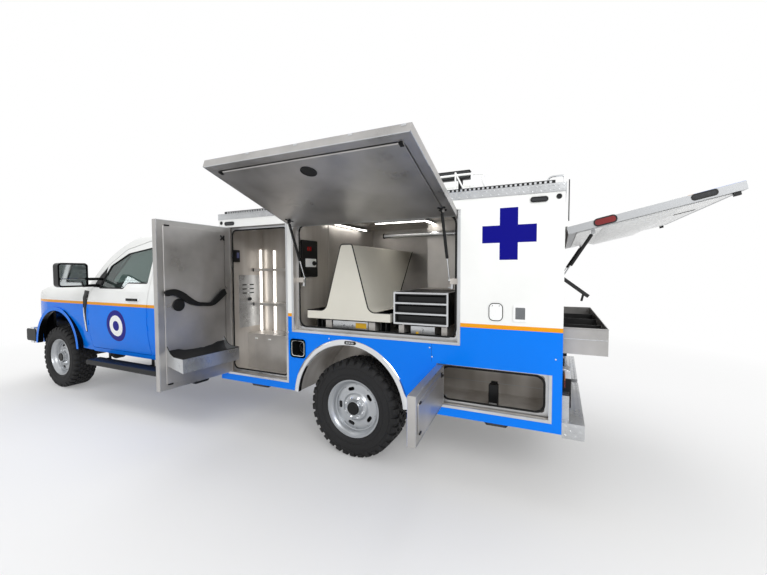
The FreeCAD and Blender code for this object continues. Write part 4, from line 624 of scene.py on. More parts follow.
def tyre_section():
    """The carcass across the wheel, from bead to bead, as places and radii."""
    half = tyre_width / 2
    bead = 0.2335
    side = [(0.0, 0.3975), (0.082, 0.397), (0.108, 0.3915), (0.124, 0.38), (0.133, 0.364),
            (half - 0.0006, 0.334), (half, 0.306), (0.1345, 0.28), (0.1355, 0.272),
            (0.131, 0.266), (0.121, 0.25), (0.106, 0.24), (0.096, bead)]
    return side + [(-y, r) for y, r in reversed(side[1:])]


def tread_block(shape, turn, width, section, skew):
    """One block of tread: a section across the wheel carried through a small angle."""
    rings = []
    mean = sum(y for y, r in section) / len(section)
    low = min(r for y, r in section)
    for end in (-1, 1):
        ring = []
        for y, r in section:
            flare = 1 + 0.1 * (tyre_radius - r) / max(tyre_radius - low, 0.001)
            angle = turn + end * width / 2 * flare + skew * (y - mean)
            ring.append((r * math.sin(angle), y, r * math.cos(angle)))
        rings.append(ring)
    shape.loft(rings)


def tyre_shapes():
    carcass = Shape().lathe(tyre_section(), steps=96)
    for radius, foot in ((0.345, 0.1365), (0.292, 0.136)):
        carcass.lathe([(foot, radius - 0.002), (0.1385, radius), (foot, radius + 0.002)],
                      steps=96)
    blocks = Shape()
    tip = tyre_radius - 0.0005
    pitch = full_turn / lug_pitches
    long_leg = [(0.08, 0.393), (0.079, tip), (0.112, tip - 0.0015), (0.1235, 0.4035),
                (0.133, 0.388), (0.137, 0.366), (0.1372, 0.356), (0.13, 0.356),
                (0.118, 0.38)]
    short_leg = [(0.074, 0.393), (0.073, tip), (0.11, tip - 0.001), (0.12, 0.4045),
                 (0.129, 0.392), (0.1325, 0.377), (0.126, 0.374), (0.11, 0.385)]
    inner = [(0.041, 0.393), (0.0415, tip), (0.069, tip), (0.07, 0.393)]
    centre = [(0.0035, 0.393), (0.004, tip), (0.0345, tip), (0.035, 0.393)]
    for step in range(lug_pitches):
        turn = step * pitch
        for mirror, phase in ((1, 0.0), (-1, 0.5)):
            at = turn + phase * pitch
            leg = long_leg if step % 2 else short_leg
            rows = ((leg, 0.0, 0.58, 0.0), (inner, 0.32, 0.66, 2.6), (centre, 0.02, 0.7, -2.2))
            for section, shift, share, skew in rows:
                if mirror < 0:
                    section = [(-y, r) for y, r in section]
                tread_block(blocks, at + shift * pitch, share * pitch, section, skew * pitch)
    return carcass, blocks


def rim_shapes():
    """Outer barrel, dished disc with its cuts, nuts and cap; Y points outward."""
    barrel = Shape().lathe([(0.112, 0.247), (0.1165, 0.244), (0.116, 0.239),
                            (0.108, 0.2345), (0.096, 0.23), (0.09, 0.223),
                            (0.078, 0.215), (0.056, 0.208), (0.04, 0.204),
                            (-0.05, 0.199), (-0.1, 0.222), (-0.112, 0.245),
                            (-0.115, 0.24), (-0.09, 0.215), (-0.05, 0.192),
                            (0.035, 0.195), (0.045, 0.199), (0.06, 0.202),
                            (0.08, 0.209), (0.093, 0.218), (0.1, 0.226),
                            (0.109, 0.231)][::-1], steps=96)
    bead = Shape().lathe([(0.05, 0.205), (0.056, 0.202), (0.0545, 0.196), (0.048, 0.193),
                          (0.042, 0.196), (0.042, 0.205)], steps=96)
    barrel.join(bead)
    face = [(0.044, 0.206), (0.0445, 0.196), (0.049, 0.186), (0.052, 0.17),
            (0.0525, 0.15), (0.051, 0.133), (0.052, 0.122), (0.059, 0.113),
            (0.069, 0.107), (0.072, 0.101), (0.072, 0.06)]
    thick = 0.008
    disc = Shape().lathe(face + [(y - thick, r) for y, r in reversed(face)], steps=96)
    slots = Shape()
    for index in range(5):
        angle = index * 72 + 90
        middle_r = 0.154
        outline = rounded((-0.031, 0.031), about(middle_r, 0.0155), 0.015, 6)
        cutter = Shape().plate(outline, "Y", 0.02, 0.08)
        slots.join(cutter, turned("Y", angle))
    for index in range(10):
        cutter = Shape().drum((0.186, 0.05, 0), "Y", 0.004, 0.05, 10)
        slots.join(cutter, turned("Y", index * 36 + 18))
    nuts = Shape()
    for index in range(8):
        place = turned("Y", index * 45 + 22.5)
        nut = Shape()
        nut.lathe([(0.07, 0.0), (0.07, 0.0165), (0.074, 0.0165), (0.075, 0.012),
                   (0.091, 0.012), (0.094, 0.0085), (0.094, 0.0)], (0.085, 0, 0), "Y", 6)
        nut.lathe([(0.093, 0.0), (0.093, 0.0062), (0.101, 0.006), (0.1025, 0.004),
                   (0.1025, 0.0)], (0.085, 0, 0), "Y", 12)
        nuts.join(nut, place)
    collar = Shape().lathe([(0.07, 0.07), (0.08, 0.069), (0.086, 0.064),
                            (0.106, 0.062), (0.109, 0.059), (0.108, 0.0555),
                            (0.07, 0.0555)])
    cap = Shape().lathe([(0.09, 0.0), (0.09, 0.056), (0.112, 0.054), (0.1165, 0.05),
                         (0.118, 0.044), (0.116, 0.041), (0.1155, 0.0)])
    return barrel, disc, slots, nuts, collar, cap


def wheels():
    carcass, blocks = tyre_shapes()
    barrel, disc, slots, nuts, collar, cap = rim_shapes()
    for end, x, y in (("rear", 0, rear_wheel_y), ("front", wheelbase, front_wheel_y)):
        for word, side in sides:
            place = Matrix.Translation((x, y, wheel_z))
            body = "wheel_%s_%s" % (end, word)
            tag = "_%s_%s" % (end, word)

            def put(name, shape, finish, node=None, bevel=0.0, cuts=()):
                moved = Shape().join(shape, place)
                cuts = [Shape().join(cut, place) for cut in cuts]
                piece(name + tag, moved, finish, body, side,
                      stands_for=(node + tag,) if node else (), bevel=bevel, cuts=cuts)

            put("tyre_carcass", carcass, "tyre", "tyre")
            put("tyre_tread", blocks, "tyre", "tyre", bevel=0.0012)
            put("rim_barrel", barrel, "wheel", "rim")
            put("rim_disc", disc, "wheel", "rim", cuts=[slots])
            put("wheel_nuts", nuts, "chrome")
            put("hub_collar", collar, "wheel")
            put("hub_cap", cap, "black")


# Body side: roof band, arch rings, door frames, seals, badges and lamps

def tread_plate(shape, along, across, spot):
    """Raised lozenges in alternate slants over a rectangle; spot places each point."""
    pitch, length, width, height = 0.026, 0.0105, 0.0028, 0.0014
    slope, crown = 42, 0.55
    count_a = int((along[1] - along[0]) / pitch)
    count_b = max(int(round((across[1] - across[0]) / pitch)), 1)
    for i in range(count_a):
        for j in range(count_b):
            slant = math.radians(slope if (i + j) % 2 else -slope)
            a = along[0] + (i + 0.5) * (along[1] - along[0]) / count_a
            b = across[0] + (j + 0.5) * (across[1] - across[0]) / count_b
            ring = [(a + u * math.cos(slant) - v * math.sin(slant),
                     b + u * math.sin(slant) + v * math.cos(slant))
                    for u, v in ((-length, 0), (-length / 2, -width), (length / 2, -width),
                                 (length, 0), (length / 2, width), (-length / 2, width))]
            shape.loft([[spot(p, q, 0.0) for p, q in ring],
                        [spot(a + (p - a) * crown, b + (q - b) * crown, height)
                         for p, q in ring]])


def roof_band():
    """Diamond plate round the roof's edge, folded a little way over it."""
    low, high = 2.06, 2.114
    thick, fold = 0.004, 0.07
    out = side_y + thick
    ends = (body_rear - thick, body_front + thick)
    band, marks = Shape(), Shape()
    for sign in (1, -1):
        band.box(ends, sorted((sign * side_y, sign * out)), (low, high))
        band.box(ends, sorted((sign * (side_y - fold), sign * out)),
                 (roof_z + eps, roof_z + thick))
    for x, step in ((body_rear, -thick), (body_front, thick)):
        band.box(sorted((x, x + step)), (-out, out), (low, high))
    piece("roof_band", band, "plate", stands_for=("body_trim",), bevel=0.0015)
    edge = (low + 0.003, high - 0.002)
    for sign, end in ((1, ends[1]), (-1, ends[0])):
        tread_plate(marks, (body_rear, body_front), edge,
                    lambda a, b, h: (a, sign * (out + h), b))
        tread_plate(marks, (-out, out), edge, lambda a, b, h: (end + sign * h, a, b))
    piece("roof_band_marks", marks, "plate")


def arch_rings():
    """A polished ring with a rolled edge over each rear wheel."""
    inner = arch_radius
    outer = arch_radius + arch_width
    skirt_z = 0.52
    start = math.degrees(math.asin((skirt_z - arch_z) / outer))
    face = side_y
    outline = [(face - 0.03, inner - 0.001), (face + 0.008, inner), (face + 0.0115, inner + 0.004),
               (face + 0.012, inner + 0.01), (face + 0.011, outer - 0.016),
               (face + 0.0075, outer - 0.006), (face + 0.0025, outer), (face + eps, outer),
               (face + eps, inner + 0.004), (face - 0.03, inner + 0.002)]
    ring = Shape().lathe(outline, (0, 0, arch_z), "Y", 64, start, 180 - 2 * start)
    pair("arch_ring", ring, "chrome", stands_for=("body_trim",))


def door_frames():
    """Bright flanges behind the side doors, with a black seal on each."""
    lip, gap, width = 0.024, 0.019, 0.014
    flanges, seals = Shape(), Shape()
    for (xs, zs), corner in ((front_locker, 0.05), (rear_locker, 0.06), (lift_bay, 0.07)):
        flanges.plate(rounded(xs, zs, 0.006, 6, eps), "Y", side_y - 0.0605, side_y - 0.056,
                      [rounded(xs, zs, 0.02, 6, lip)])
        seals.plate(rounded(xs, zs, corner, 7, gap), "Y", side_y - 0.0558, side_y - 0.052,
                    [rounded(xs, zs, corner - width / 2, 7, gap + width)])
    pair("door_flanges", flanges, "edge", bevel=0.001)
    pair("door_seals", seals, "seal", bevel=0.003)


def badges():
    """A plain equal-armed cross on the rear panel."""
    x, z = -1.245, 1.81
    arm, wide = 0.172, 0.058
    for name, grow, finish, proud in (("cross_edge", 0.008, "badge_white", 0.0006),
                                      ("cross", 0.0, "badge_blue", 0.0009)):
        a, w = arm + grow, wide + grow
        outline = [(x + p, z + q) for p, q in
                   ((-w, -a), (w, -a), (w, -w), (a, -w), (a, w), (w, w),
                    (w, a), (-w, a), (-w, w), (-a, w), (-a, -w), (-w, -w))]
        pair(name, Shape().plate(outline, "Y", side_y, side_y + proud), finish)


def side_lamps():
    """Oval marker lamps in black bezels, and the lamps under the body."""
    bezels, lenses = Shape(), Shape()
    half_z = 0.017
    for x, half_x in ((-1.429, 0.053), (1.285, 0.06)):
        xs, zs = about(x, half_x), about(2.02, half_z)
        core = rounded(xs, zs, 0.008, 6, 0.007)
        bezels.plate(rounded(xs, zs, half_z - 0.001, 6), "Y", side_y, side_y + 0.009, [core])
        lenses.plate(core, "Y", side_y, side_y + 0.006)
    for x in (-1.544, 1.392):
        bezels.lathe([(side_y, 0.0), (side_y, 0.017), (side_y + 0.006, 0.015),
                      (side_y + 0.006, 0.009), (side_y + 0.003, 0.008), (side_y + 0.003, 0.0)],
                     (x, 0, 2.03), "Y", 20)
    for low, high in ((-1.26, -1.09), (0.83, 1.05)):
        outline = [(low, 0.522), (high, 0.522), (high - 0.02, 0.5), (low + 0.02, 0.5)]
        bezels.plate(outline, "Y", side_y - 0.045, side_y - 0.008)
        lens = rounded((low + 0.026, high - 0.026), (0.506, 0.518), 0.005, 4)
        lenses.plate(lens, "Y", side_y - 0.009, side_y - 0.005)
    pair("side_lamp_bezels", bezels, "black", bevel=0.0012)
    pair("side_lamp_lenses", lenses, "smoke_lens", stands_for=("marker_lamps",), bevel=0.001)


# Curves, and pieces laid on a surface

def filleted(corners, steps=6):
    """A closed outline from corners, each given with the radius that rounds it."""
    points = []
    count = len(corners)
    for index, (a, b, radius) in enumerate(corners):
        here = Vector((a, b))
        if not radius:
            points.append((a, b))
            continue
        back = (Vector(corners[index - 1][:2]) - here).normalized()
        on = (Vector(corners[(index + 1) % count][:2]) - here).normalized()
        half = back.angle(on) / 2
        centre = here + (back + on).normalized() * radius / math.sin(half)
        first = here + back * radius / math.tan(half) - centre
        last = here + on * radius / math.tan(half) - centre
        for step in range(steps + 1):
            ray = first.lerp(last, step / steps).normalized() * radius
            points.append(tuple(centre + ray))
    return points


def smooth(points, steps=6):
    """A curve through points, each a place and any values that go with it."""
    path = [Vector(point) for point in points]
    path = [2 * path[0] - path[1]] + path + [2 * path[-1] - path[-2]]
    curve = []
    for a, b, c, d in zip(path, path[1:], path[2:], path[3:]):
        for step in range(steps):
            t = step / steps
            curve.append(0.5 * (2 * b + (c - a) * t + (2 * a - 5 * b + 4 * c - d) * t * t
                                + (3 * b - a - 3 * c + d) * t ** 3))
    return curve + [path[-2]]


def ribbon(points):
    """The outline of a band along a smooth curve, from places and half widths."""
    curve = smooth(points)
    left, right = [], []
    for index, (a, b, half) in enumerate(curve):
        ahead = curve[min(index + 1, len(curve) - 1)] - curve[max(index - 1, 0)]
        across = Vector((-ahead.y, ahead.x)).normalized() * half
        left.append((a + across.x, b + across.y))
        right.append((a - across.x, b - across.y))
    return left + right[::-1]


def node_tree(*names):
    """The surface of some nodes, for rays to hit."""
    points, faces = [], []
    for name in names:
        mesh = nodes[name].data
        faces += [[len(points) + i for i in face.vertices] for face in mesh.polygons]
        points += [vertex.co.copy() for vertex in mesh.vertices]
    return BVHTree.FromPolygons(points, faces)


def decal(tree, loops):
    """A thin piece laid on the left side, from loops of places and how proud each is."""
    sunk = 0.003
    rings = []
    for loop, proud in [(loops[0][0], -sunk)] + loops:
        ring = []
        for x, z in loop:
            hit = tree.ray_cast(Vector((x + rear_axle_x, 3.0, z)), Vector((0, -1, 0)))[0]
            ring.append((x, (hit.y if hit else side_y) + proud, z))
        rings.append(ring)
    return Shape().loft(rings)


# Side doors and hatch: painted skins, pressed linings and fittings, drawn as shut

door_gap = 0.005
side_doors = {"lift_door": lift_bay, "front_locker_door": front_locker,
              "rear_locker_door": rear_locker}
lining_y = side_y - door_thick
hatch_inner = hatch_face + door_thick
hatch_low = 0.9345


def painted(finish, joint):
    skin[finish] = paint(finish, stripe_low, stripe_high, shut_turn(joint))
    slot_of[finish] = "body_paint"
    return finish


def door_skins():
    """Painted sheets on the outsides, striped as the body is, and bright rims within."""
    proud = 0.001
    for door, (xs, zs) in side_doors.items():
        xs, zs = inset(xs, door_gap + proud), inset(zs, door_gap + proud)
        sheet = Shape().plate(rounded(xs, zs, 0.004, 3), "Y", side_y + eps / 4, side_y + proud)
        rim = Shape().plate(rounded(xs, zs, 0.004, 3), "Y", lining_y - 0.002, lining_y - eps,
                            [rounded(xs, zs, 0.004, 3, 0.005)])
        for word, side in sides:
            joint = door + "_" + word
            piece(joint + "_skin", sheet, painted(joint + "_paint", joint), joint, side, joint)
        pair(door + "_rim", rim, "edge", door=door)
    ys, zs = (0.006 - hatch_half, hatch_half - 0.006), (hatch_low + proud, hatch_z[1] - 0.006)
    sheet = Shape().plate(rounded(ys, zs, 0.004, 3), "X", hatch_face - proud, hatch_face - eps / 4)
    piece("rear_hatch_skin", sheet, painted("rear_hatch_paint", "rear_hatch"), "rear_hatch",
          joint="rear_hatch")


def star(shape, x, z, size, back, front):
    """A four-armed plate with a boss, where a gas strut or stay is held."""
    for turn in (45, 135):
        a, b = size * math.cos(math.radians(turn)), size * math.sin(math.radians(turn))
        w = size * 0.16
        band = [(x - a - w, z - b + w), (x - a + w, z - b - w), (x + a + w, z + b - w),
                (x + a - w, z + b + w)]
        if turn > 90:
            band = [(x - a - w, z - b - w), (x - a + w, z - b + w), (x + a + w, z + b + w),
                    (x + a - w, z + b - w)]
        shape.plate(band, "Y", front, back)
    return shape.drum((x, (front + back) / 2 - 0.006, z), "Y", size * 0.42, 0.018, 16, 0.002)


def lift_fittings():
    """The big side door: pressed pan, outer hem, speaker hole, strut ears and catches."""
    (x_low, x_high), (z_low, z_high) = [inset(span, door_gap) for span in lift_bay]
    pan = [(lining_y - eps, 1.135), (lining_y - 0.006, 1.141), (lining_y - 0.007, 1.655),
           (lining_y - eps, 1.95)]
    pair("lift_door_pan", Shape().plate(pan, "X", x_low + 0.068, x_high - 0.068), "door_alloy",
         door="lift_door", bevel=0.0015)
    hem = Shape()
    hem.tube([(x_low + 0.008, lining_y, z_low + 0.004),
              (x_high - 0.008, lining_y, z_low + 0.004)], 0.004, 10)
    hem.tube([(x_low + 0.004, lining_y, z_low + 0.004),
              (x_low + 0.004, lining_y, z_low + 0.3)], 0.0038, 8)
    for share in (0.03, 0.24, 0.49, 0.74):
        x = x_low + (x_high - x_low) * share
        hem.box(about(x, 0.013), (side_y - 0.014, side_y - 0.002),
                (z_low - 0.0016, z_low - eps))
    pair("lift_door_hem", hem, "edge", door="lift_door", bevel=0.001)
    black = Shape()
    hole = (-0.165, 1.256)
    black.lathe([(lining_y - 0.0075, 0.0), (lining_y - 0.0075, 0.046), (lining_y - 0.01, 0.047),
                 (lining_y - 0.01, 0.052), (lining_y - 0.0068, 0.053), (lining_y - 0.0068, 0.0)],
                (hole[0], 0, hole[1]), "Y", 36)
    for x in (-0.8305, 0.4625):
        star(black, x, 1.863, 0.034, lining_y - eps, lining_y - 0.006)
    for x in (x_low + 0.081, x_high - 0.081):
        black.box(about(x, 0.011), (lining_y - 0.011, lining_y - eps), (1.128, 1.16))
        black.drum((x, lining_y - 0.011, 1.138), "Y", 0.008, 0.006, 12, 0.001)
    pair("lift_door_fittings", black, "black", door="lift_door", bevel=0.001)


def front_door_fittings():
    """The tall side door: pan, strap handle, disc, stay ear and catches."""
    line = [(0.68, lining_y - eps), (0.684, lining_y - 0.004)]
    for step in range(25):
        share = step / 24
        crease = 0.0022 * math.exp(-((share - 0.6) / 0.018) ** 2)
        line.append((0.69 + 0.562 * share,
                     lining_y - 0.0045 - 0.005 * math.sin(math.pi * share) - crease))
    line += [(1.258, lining_y - 0.004), (1.262, lining_y - eps)]
    pan = Shape().plate(line, "Z", 0.655, 1.935)
    pair("front_locker_door_pan", pan, "door_alloy", door="front_locker_door", bevel=0.0025)
    black = Shape()
    grip = [(0.672, 1.386, 0.018), (0.69, 1.392, 0.024), (0.75, 1.398, 0.026),
            (0.815, 1.37, 0.028), (0.88, 1.324, 0.026), (0.948, 1.291, 0.019),
            (1.01, 1.281, 0.016), (1.083, 1.276, 0.018), (1.13, 1.298, 0.025),
            (1.176, 1.334, 0.029), (1.225, 1.372, 0.03), (1.246, 1.384, 0.024)]
    black.plate(ribbon(grip), "Y", lining_y - 0.034, lining_y - 0.018)
    for x, z in ((0.705, 1.394), (1.215, 1.366)):
        black.drum((x, lining_y - 0.012, z), "Y", 0.014, 0.022, 14)
    black.drum((0.795, lining_y - 0.011, 1.29), "Y", 0.052, 0.014, 40, 0.003)
    star(black, 1.24, 1.877, 0.03, lining_y - 0.005, lining_y - 0.01)
    for x, z in ((0.712, 1.937), (0.712, 0.65)):
        black.box(about(x, 0.02), (lining_y - 0.012, lining_y - eps), about(z, 0.006))
    pair("front_locker_door_fittings", black, "black", door="front_locker_door", bevel=0.0015)


def front_door_bin():
    """The sheet bin that hangs within the tall side door, with its mat and trim."""
    bin_x = (0.69, 1.24)
    lip_y, lip_z = 0.803, (0.762, 0.877)
    back = lining_y - 0.005
    sheet = 0.0022
    tub = Shape()
    cheek = [(back, 0.96), (0.955, 0.905), (0.915, 0.884), (lip_y, lip_z[1]), (lip_y, lip_z[0]),
             (back, 0.8)]
    for x in (bin_x[0], bin_x[1] - sheet):
        tub.plate(cheek, "X", x, x + sheet)
    tub.plate([(lip_y, lip_z[0]), (back, 0.8), (back, 0.8 + sheet),
               (lip_y, lip_z[0] + sheet)], "X", bin_x[0] + sheet, bin_x[1] - sheet)
    tub.box(inset(bin_x, sheet), (lip_y, lip_y + sheet), lip_z)
    mat = Shape()
    slope = arc((back - 0.12, 0.925), 0.118, -82, 0, 10)
    mat.plate(slope + [(a + sheet, b - sheet) for a, b in slope[::-1]], "X", bin_x[0] + sheet,
              bin_x[1] - sheet)
    pair("front_locker_bin_mat", mat, "frame", door="front_locker_door")
    pair("front_locker_bin", tub, "edge", door="front_locker_door")
    trim = Shape().tube([(bin_x[0], lip_y + 0.001, lip_z[1]), (bin_x[1], lip_y + 0.001, lip_z[1])],
                        0.003, 8)
    for x in bin_x:
        trim.tube([(x, a, b) for a, b in cheek[:4]], 0.0028, 8)
    pair("front_locker_bin_trim", trim, "seal", door="front_locker_door")


def rear_door_fittings():
    pan = Shape().plate(rounded((-1.456, -0.798), (0.645, 0.85), 0.045), "Y", lining_y - 0.005,
                        lining_y - eps)
    pan.box((-1.4, -1.0), (lining_y - 0.008, lining_y - 0.005), (0.815, 0.819))
    pair("rear_locker_door_pan", pan, "door_alloy", door="rear_locker_door", bevel=0.002)
    black = star(Shape(), -0.85, 0.838, 0.022, lining_y - 0.005, lining_y - 0.009)
    for z in (0.662, 0.833):
        black.box((-1.44, -1.405), (lining_y - 0.011, lining_y - 0.004), about(z, 0.006))
    pair("rear_locker_door_fittings", black, "black", door="rear_locker_door", bevel=0.001)


def hatch_fittings():
    """The rear hatch: white pans, lamps in its edges, handle bar, catches and strut plates."""
    pan = Shape()
    pan.plate(rounded((-0.85, 0.85), (0.985, 1.8), 0.02), "X", hatch_inner + eps,
              hatch_inner + 0.005)
    rings = []
    for x, grow in ((0.005, 0.0), (0.032, -0.045)):
        rings.append([(hatch_inner + x, a, b) for a, b in
                      rounded((-0.79 - grow, 0.79 + grow), (1.205 - grow, 1.64 + grow), 0.015)])
    pan.loft(rings)
    piece("rear_hatch_pan", pan, "badge_white", "rear_hatch", joint="rear_hatch", bevel=0.0015)
    black, red, smoke, bright = Shape(), Shape(), Shape(), Shape()
    edge = 0.895
    for sign in (1, -1):
        for xs, zs, shape in (((-1.596, -1.544), (1.563, 1.696), red),
                              ((-1.59, -1.552), (1.062, 1.188), smoke)):
            outline = rounded(xs, zs, (xs[1] - xs[0]) / 2 - 0.001, 8)
            core = rounded(xs, zs, (xs[1] - xs[0]) / 2 - 0.009, 8, 0.008)
            black.plate(outline, "Y", sign * edge, sign * (edge + 0.003), [core])
            shape.plate(core, "Y", sign * (edge + eps), sign * (edge + 0.0022))
        black.box((hatch_inner, hatch_inner + 0.022), sorted((sign * 0.858, sign * 0.886)),
                  (0.965, 0.995))
        bright.box((hatch_inner, hatch_inner + 0.004), sorted((sign * 0.8, sign * 0.852)),
                   (1.675, 1.733))
        bright.drum((hatch_inner + 0.012, sign * 0.825, 1.704), "Y", 0.01, 0.018, 12)
    black.plate(rounded((0.308, 0.356), (1.03, 1.18), 0.01), "X", hatch_inner + 0.005,
                hatch_inner + 0.007)
    piece("rear_hatch_fittings", black, "black", "rear_hatch", joint="rear_hatch", bevel=0.001)
    piece("rear_hatch_lamps", red, "red_lens", "rear_hatch", joint="rear_hatch")
    piece("rear_hatch_slots", smoke, "smoke_lens", "rear_hatch", joint="rear_hatch")
    piece("rear_hatch_brackets", bright, "edge", "rear_hatch", joint="rear_hatch", bevel=0.001)


# Lift bay: inner walls, lamps, panel, the stepped tray and the cabinet

bay_z = (1.058, 2.058)


def bay_walls():
    """Sheet walls behind the tray and cabinet, ceiling lamps, a tube and strikers."""
    zs = inset(bay_z, eps)
    walls = Shape()
    for xs, ys in (((-0.904, -0.364), (0.098, 0.102)), ((-0.368, -0.364), (-0.472, 0.098)),
                   ((-0.364, 0.534), (-0.476, -0.472)), ((0.534, 0.5376), (-0.472, 0.505))):
        walls.box(xs, ys, zs)
    walls.box((-0.9, -0.37), (0.102, 0.4), (1.385, 1.403))
    piece("bay_walls", walls, "inner_alloy", bevel=0.001)
    bars, glow = Shape(), Shape()
    for xs, ys in (((0.455, 0.495), (-0.18, 0.46)), ((-0.43, 0.1), (0.31, 0.35)),
                   ((-0.44, -0.4), (-0.12, 0.3))):
        bars.box(xs, ys, (bay_z[1] - 0.026, bay_z[1] - eps))
        glow.box(inset(xs, 0.006), inset(ys, 0.006), (bay_z[1] - 0.029, bay_z[1] - 0.0262))
    bars.tube([(-0.895, 0.13, 1.928), (0.09, 0.13, 1.928)], 0.024, 24)
    for x, y in ((0.474, 0.978), (-0.848, 0.978)):
        bars.box(about(x, 0.008), about(y, 0.012), (1.435, 1.5))
        bars.box((x - 0.008, x + 0.03), about(y, 0.004), (1.44, 1.448))
    piece("bay_fixtures", bars, "edge", bevel=0.0015)
    piece("bay_lamps", glow, "ceiling_lit", bevel=0.002)
    panel, face, red = Shape(), Shape(), Shape()
    panel.plate(rounded((0.712, 0.954), (1.515, 1.848), 0.012), "X", 0.522, 0.5336)
    panel.drum((0.509, 0.783, 1.64), "X", 0.021, 0.018, 24, 0.003)
    face.plate(rounded((0.738, 0.898), (1.606, 1.682), 0.006), "X", 0.5195, 0.522)
    for y, wide in ((0.858, 0.026), (0.822, 0.026)):
        red.box((0.5205, 0.522), (y - wide / 2, y + wide / 2), (1.752, 1.79))
    piece("bay_panel", panel, "black", bevel=0.0015)
    piece("bay_panel_plate", face, "badge_white", bevel=0.0006)
    piece("bay_panel_display", red, "screen", bevel=0.0006)
    cap = Shape().drum((0.096, 0.13, 1.928), "X", 0.027, 0.014, 24, 0.002)
    piece("bay_tube_cap", cap, "black")


tray_middle = 0.0455
tray_x = (-0.352, 0.443)
tray_y = (-0.44, 0.98)
tray_z = (1.16, 1.23, 1.787)
hump_foot = 0.208
hump_peak = 0.052


def hump_line(grow=0.0):
    """The bell of the tray, from one foot over the peak to the other."""
    corners = [(tray_x[0], tray_z[1], 0), (tray_middle - hump_foot - grow, tray_z[1], 0.068),
               (tray_middle - hump_peak - grow, tray_z[2] + grow, 0.024),
               (tray_middle + hump_peak + grow, tray_z[2] + grow, 0.024),
               (tray_middle + hump_foot + grow, tray_z[1], 0.068), (tray_x[1], tray_z[1], 0)]
    return filleted(corners, 7)


def stepped_tray():
    """The pale tray: a closed bell at the front, its flanks cut back along a curve."""
    sheet = 0.004
    front = tray_y[1]
    line = hump_line()
    face = Shape().plate(line + [(tray_x[1], tray_z[0]), (tray_x[0], tray_z[0])], "Y",
                         front - 0.006, front)
    face.box((tray_x[0], tray_x[0] + sheet), (tray_y[0], front - 0.006), tray_z[:2])
    face.box((tray_x[1] - sheet, tray_x[1]), (tray_y[0], front - 0.006), tray_z[:2])
    over, under, edges = [], [], [[], []]
    for x, z in line:
        share = (z - tray_z[1]) / (tray_z[2] - tray_z[1])
        back = tray_y[0] if z < tray_z[1] + 0.004 else tray_y[0] + 0.85 * (1 - share) ** 0.75
        inward = Vector((tray_middle - x, tray_z[1] - z)).normalized() * sheet
        over.append([(x, back, z), (x, front - 0.006, z)])
        under.append([(x + inward.x, back, z + inward.y),
                      (x + inward.x, front - 0.006, z + inward.y)])
        if back > tray_y[0] and share < 0.999:
            edges[0 if x < tray_middle else 1].append((x, back, z))
    rings = [[a, b, d, c] for (a, b), (c, d) in zip(over, under)]
    face.loft(rings)
    piece("tray_shell", face, "cream", "hump_tray", stands_for=("hump_tray",), bevel=0.0012)
    trim = Shape().tube([(x, front - 0.002, z) for x, z in hump_line(0.001)], 0.005, 8)
    for edge in edges:
        trim.tube(edge, 0.006, 8)
    piece("tray_trim", trim, "seal", "hump_tray")
    base = Shape()
    for x in (-0.2005, 0.2195):
        base.box((x - 0.002, x + 0.074), (tray_y[0] + 0.01, front - 0.01), (1.1495, tray_z[0]))
    piece("tray_runners", base, "frame", "hump_tray")


def slide_hardware():
    """Latch plates and brackets between the slides, below the tray and the cabinet."""
    bright, black, label = Shape(), Shape(), Shape()
    bright.box((-0.125, 0.215), (0.922, 0.926), (1.072, 1.144))
    bright.box((-0.7, -0.505), (0.922, 0.926), (1.072, 1.138))
    for x in (-0.3, -0.255, 0.32, 0.365):
        black.box((x, x + 0.012), (0.86, 0.93), (1.0585, 1.146))
    for x in (-0.245, 0.18, -0.84, -0.735, -0.47, -0.39):
        black.box((x, x + 0.03), (0.88, 0.932), (1.0585, 1.08))
    for x in (0.03, 0.11, -0.6):
        bright.drum((x, 0.934, 1.112), "Y", 0.009, 0.016, 14, 0.002)
        bright.box(about(x, 0.005), (0.926, 0.938), (1.088, 1.11))
    label.box((-0.112, -0.01), (0.926, 0.9268), (1.088, 1.132))
    label.drum((-0.56, 0.932, 1.085), "Y", 0.01, 0.012, 14, 0.002)
    piece("slide_latches", bright, "edge", bevel=0.0012)
    piece("slide_brackets", black, "black", bevel=0.0012)
    piece("slide_label", label, "yellow")


def cabinet_frame():
    """Bright angle round the black cells of the sliding cabinet."""
    xs, zs, front = (-0.8205, -0.3825), (1.1545, 1.4035), 0.98
    bar = 0.013
    cells = []
    pitch = (zs[1] - zs[0] - bar) / 3
    for index in range(3):
        low = zs[0] + bar + index * pitch
        cells.append(rounded((xs[0] + bar, xs[1] - bar), (low, low + pitch - bar), 0.003, 2))
    frame_plate = Shape().plate(rounded(xs, zs, 0.004, 3), "Y", front + eps, front + 0.0035, cells)
    for x in xs:
        frame_plate.box(sorted((x, x + math.copysign(0.016, -0.6 - x))), (0.43, front),
                        (zs[1], zs[1] + 0.0025))
    piece("cabinet_frame", frame_plate, "edge", "drawer_cabinet", bevel=0.0008)


# Front and rear lockers: shelves, light strips, boxes, vents and panels

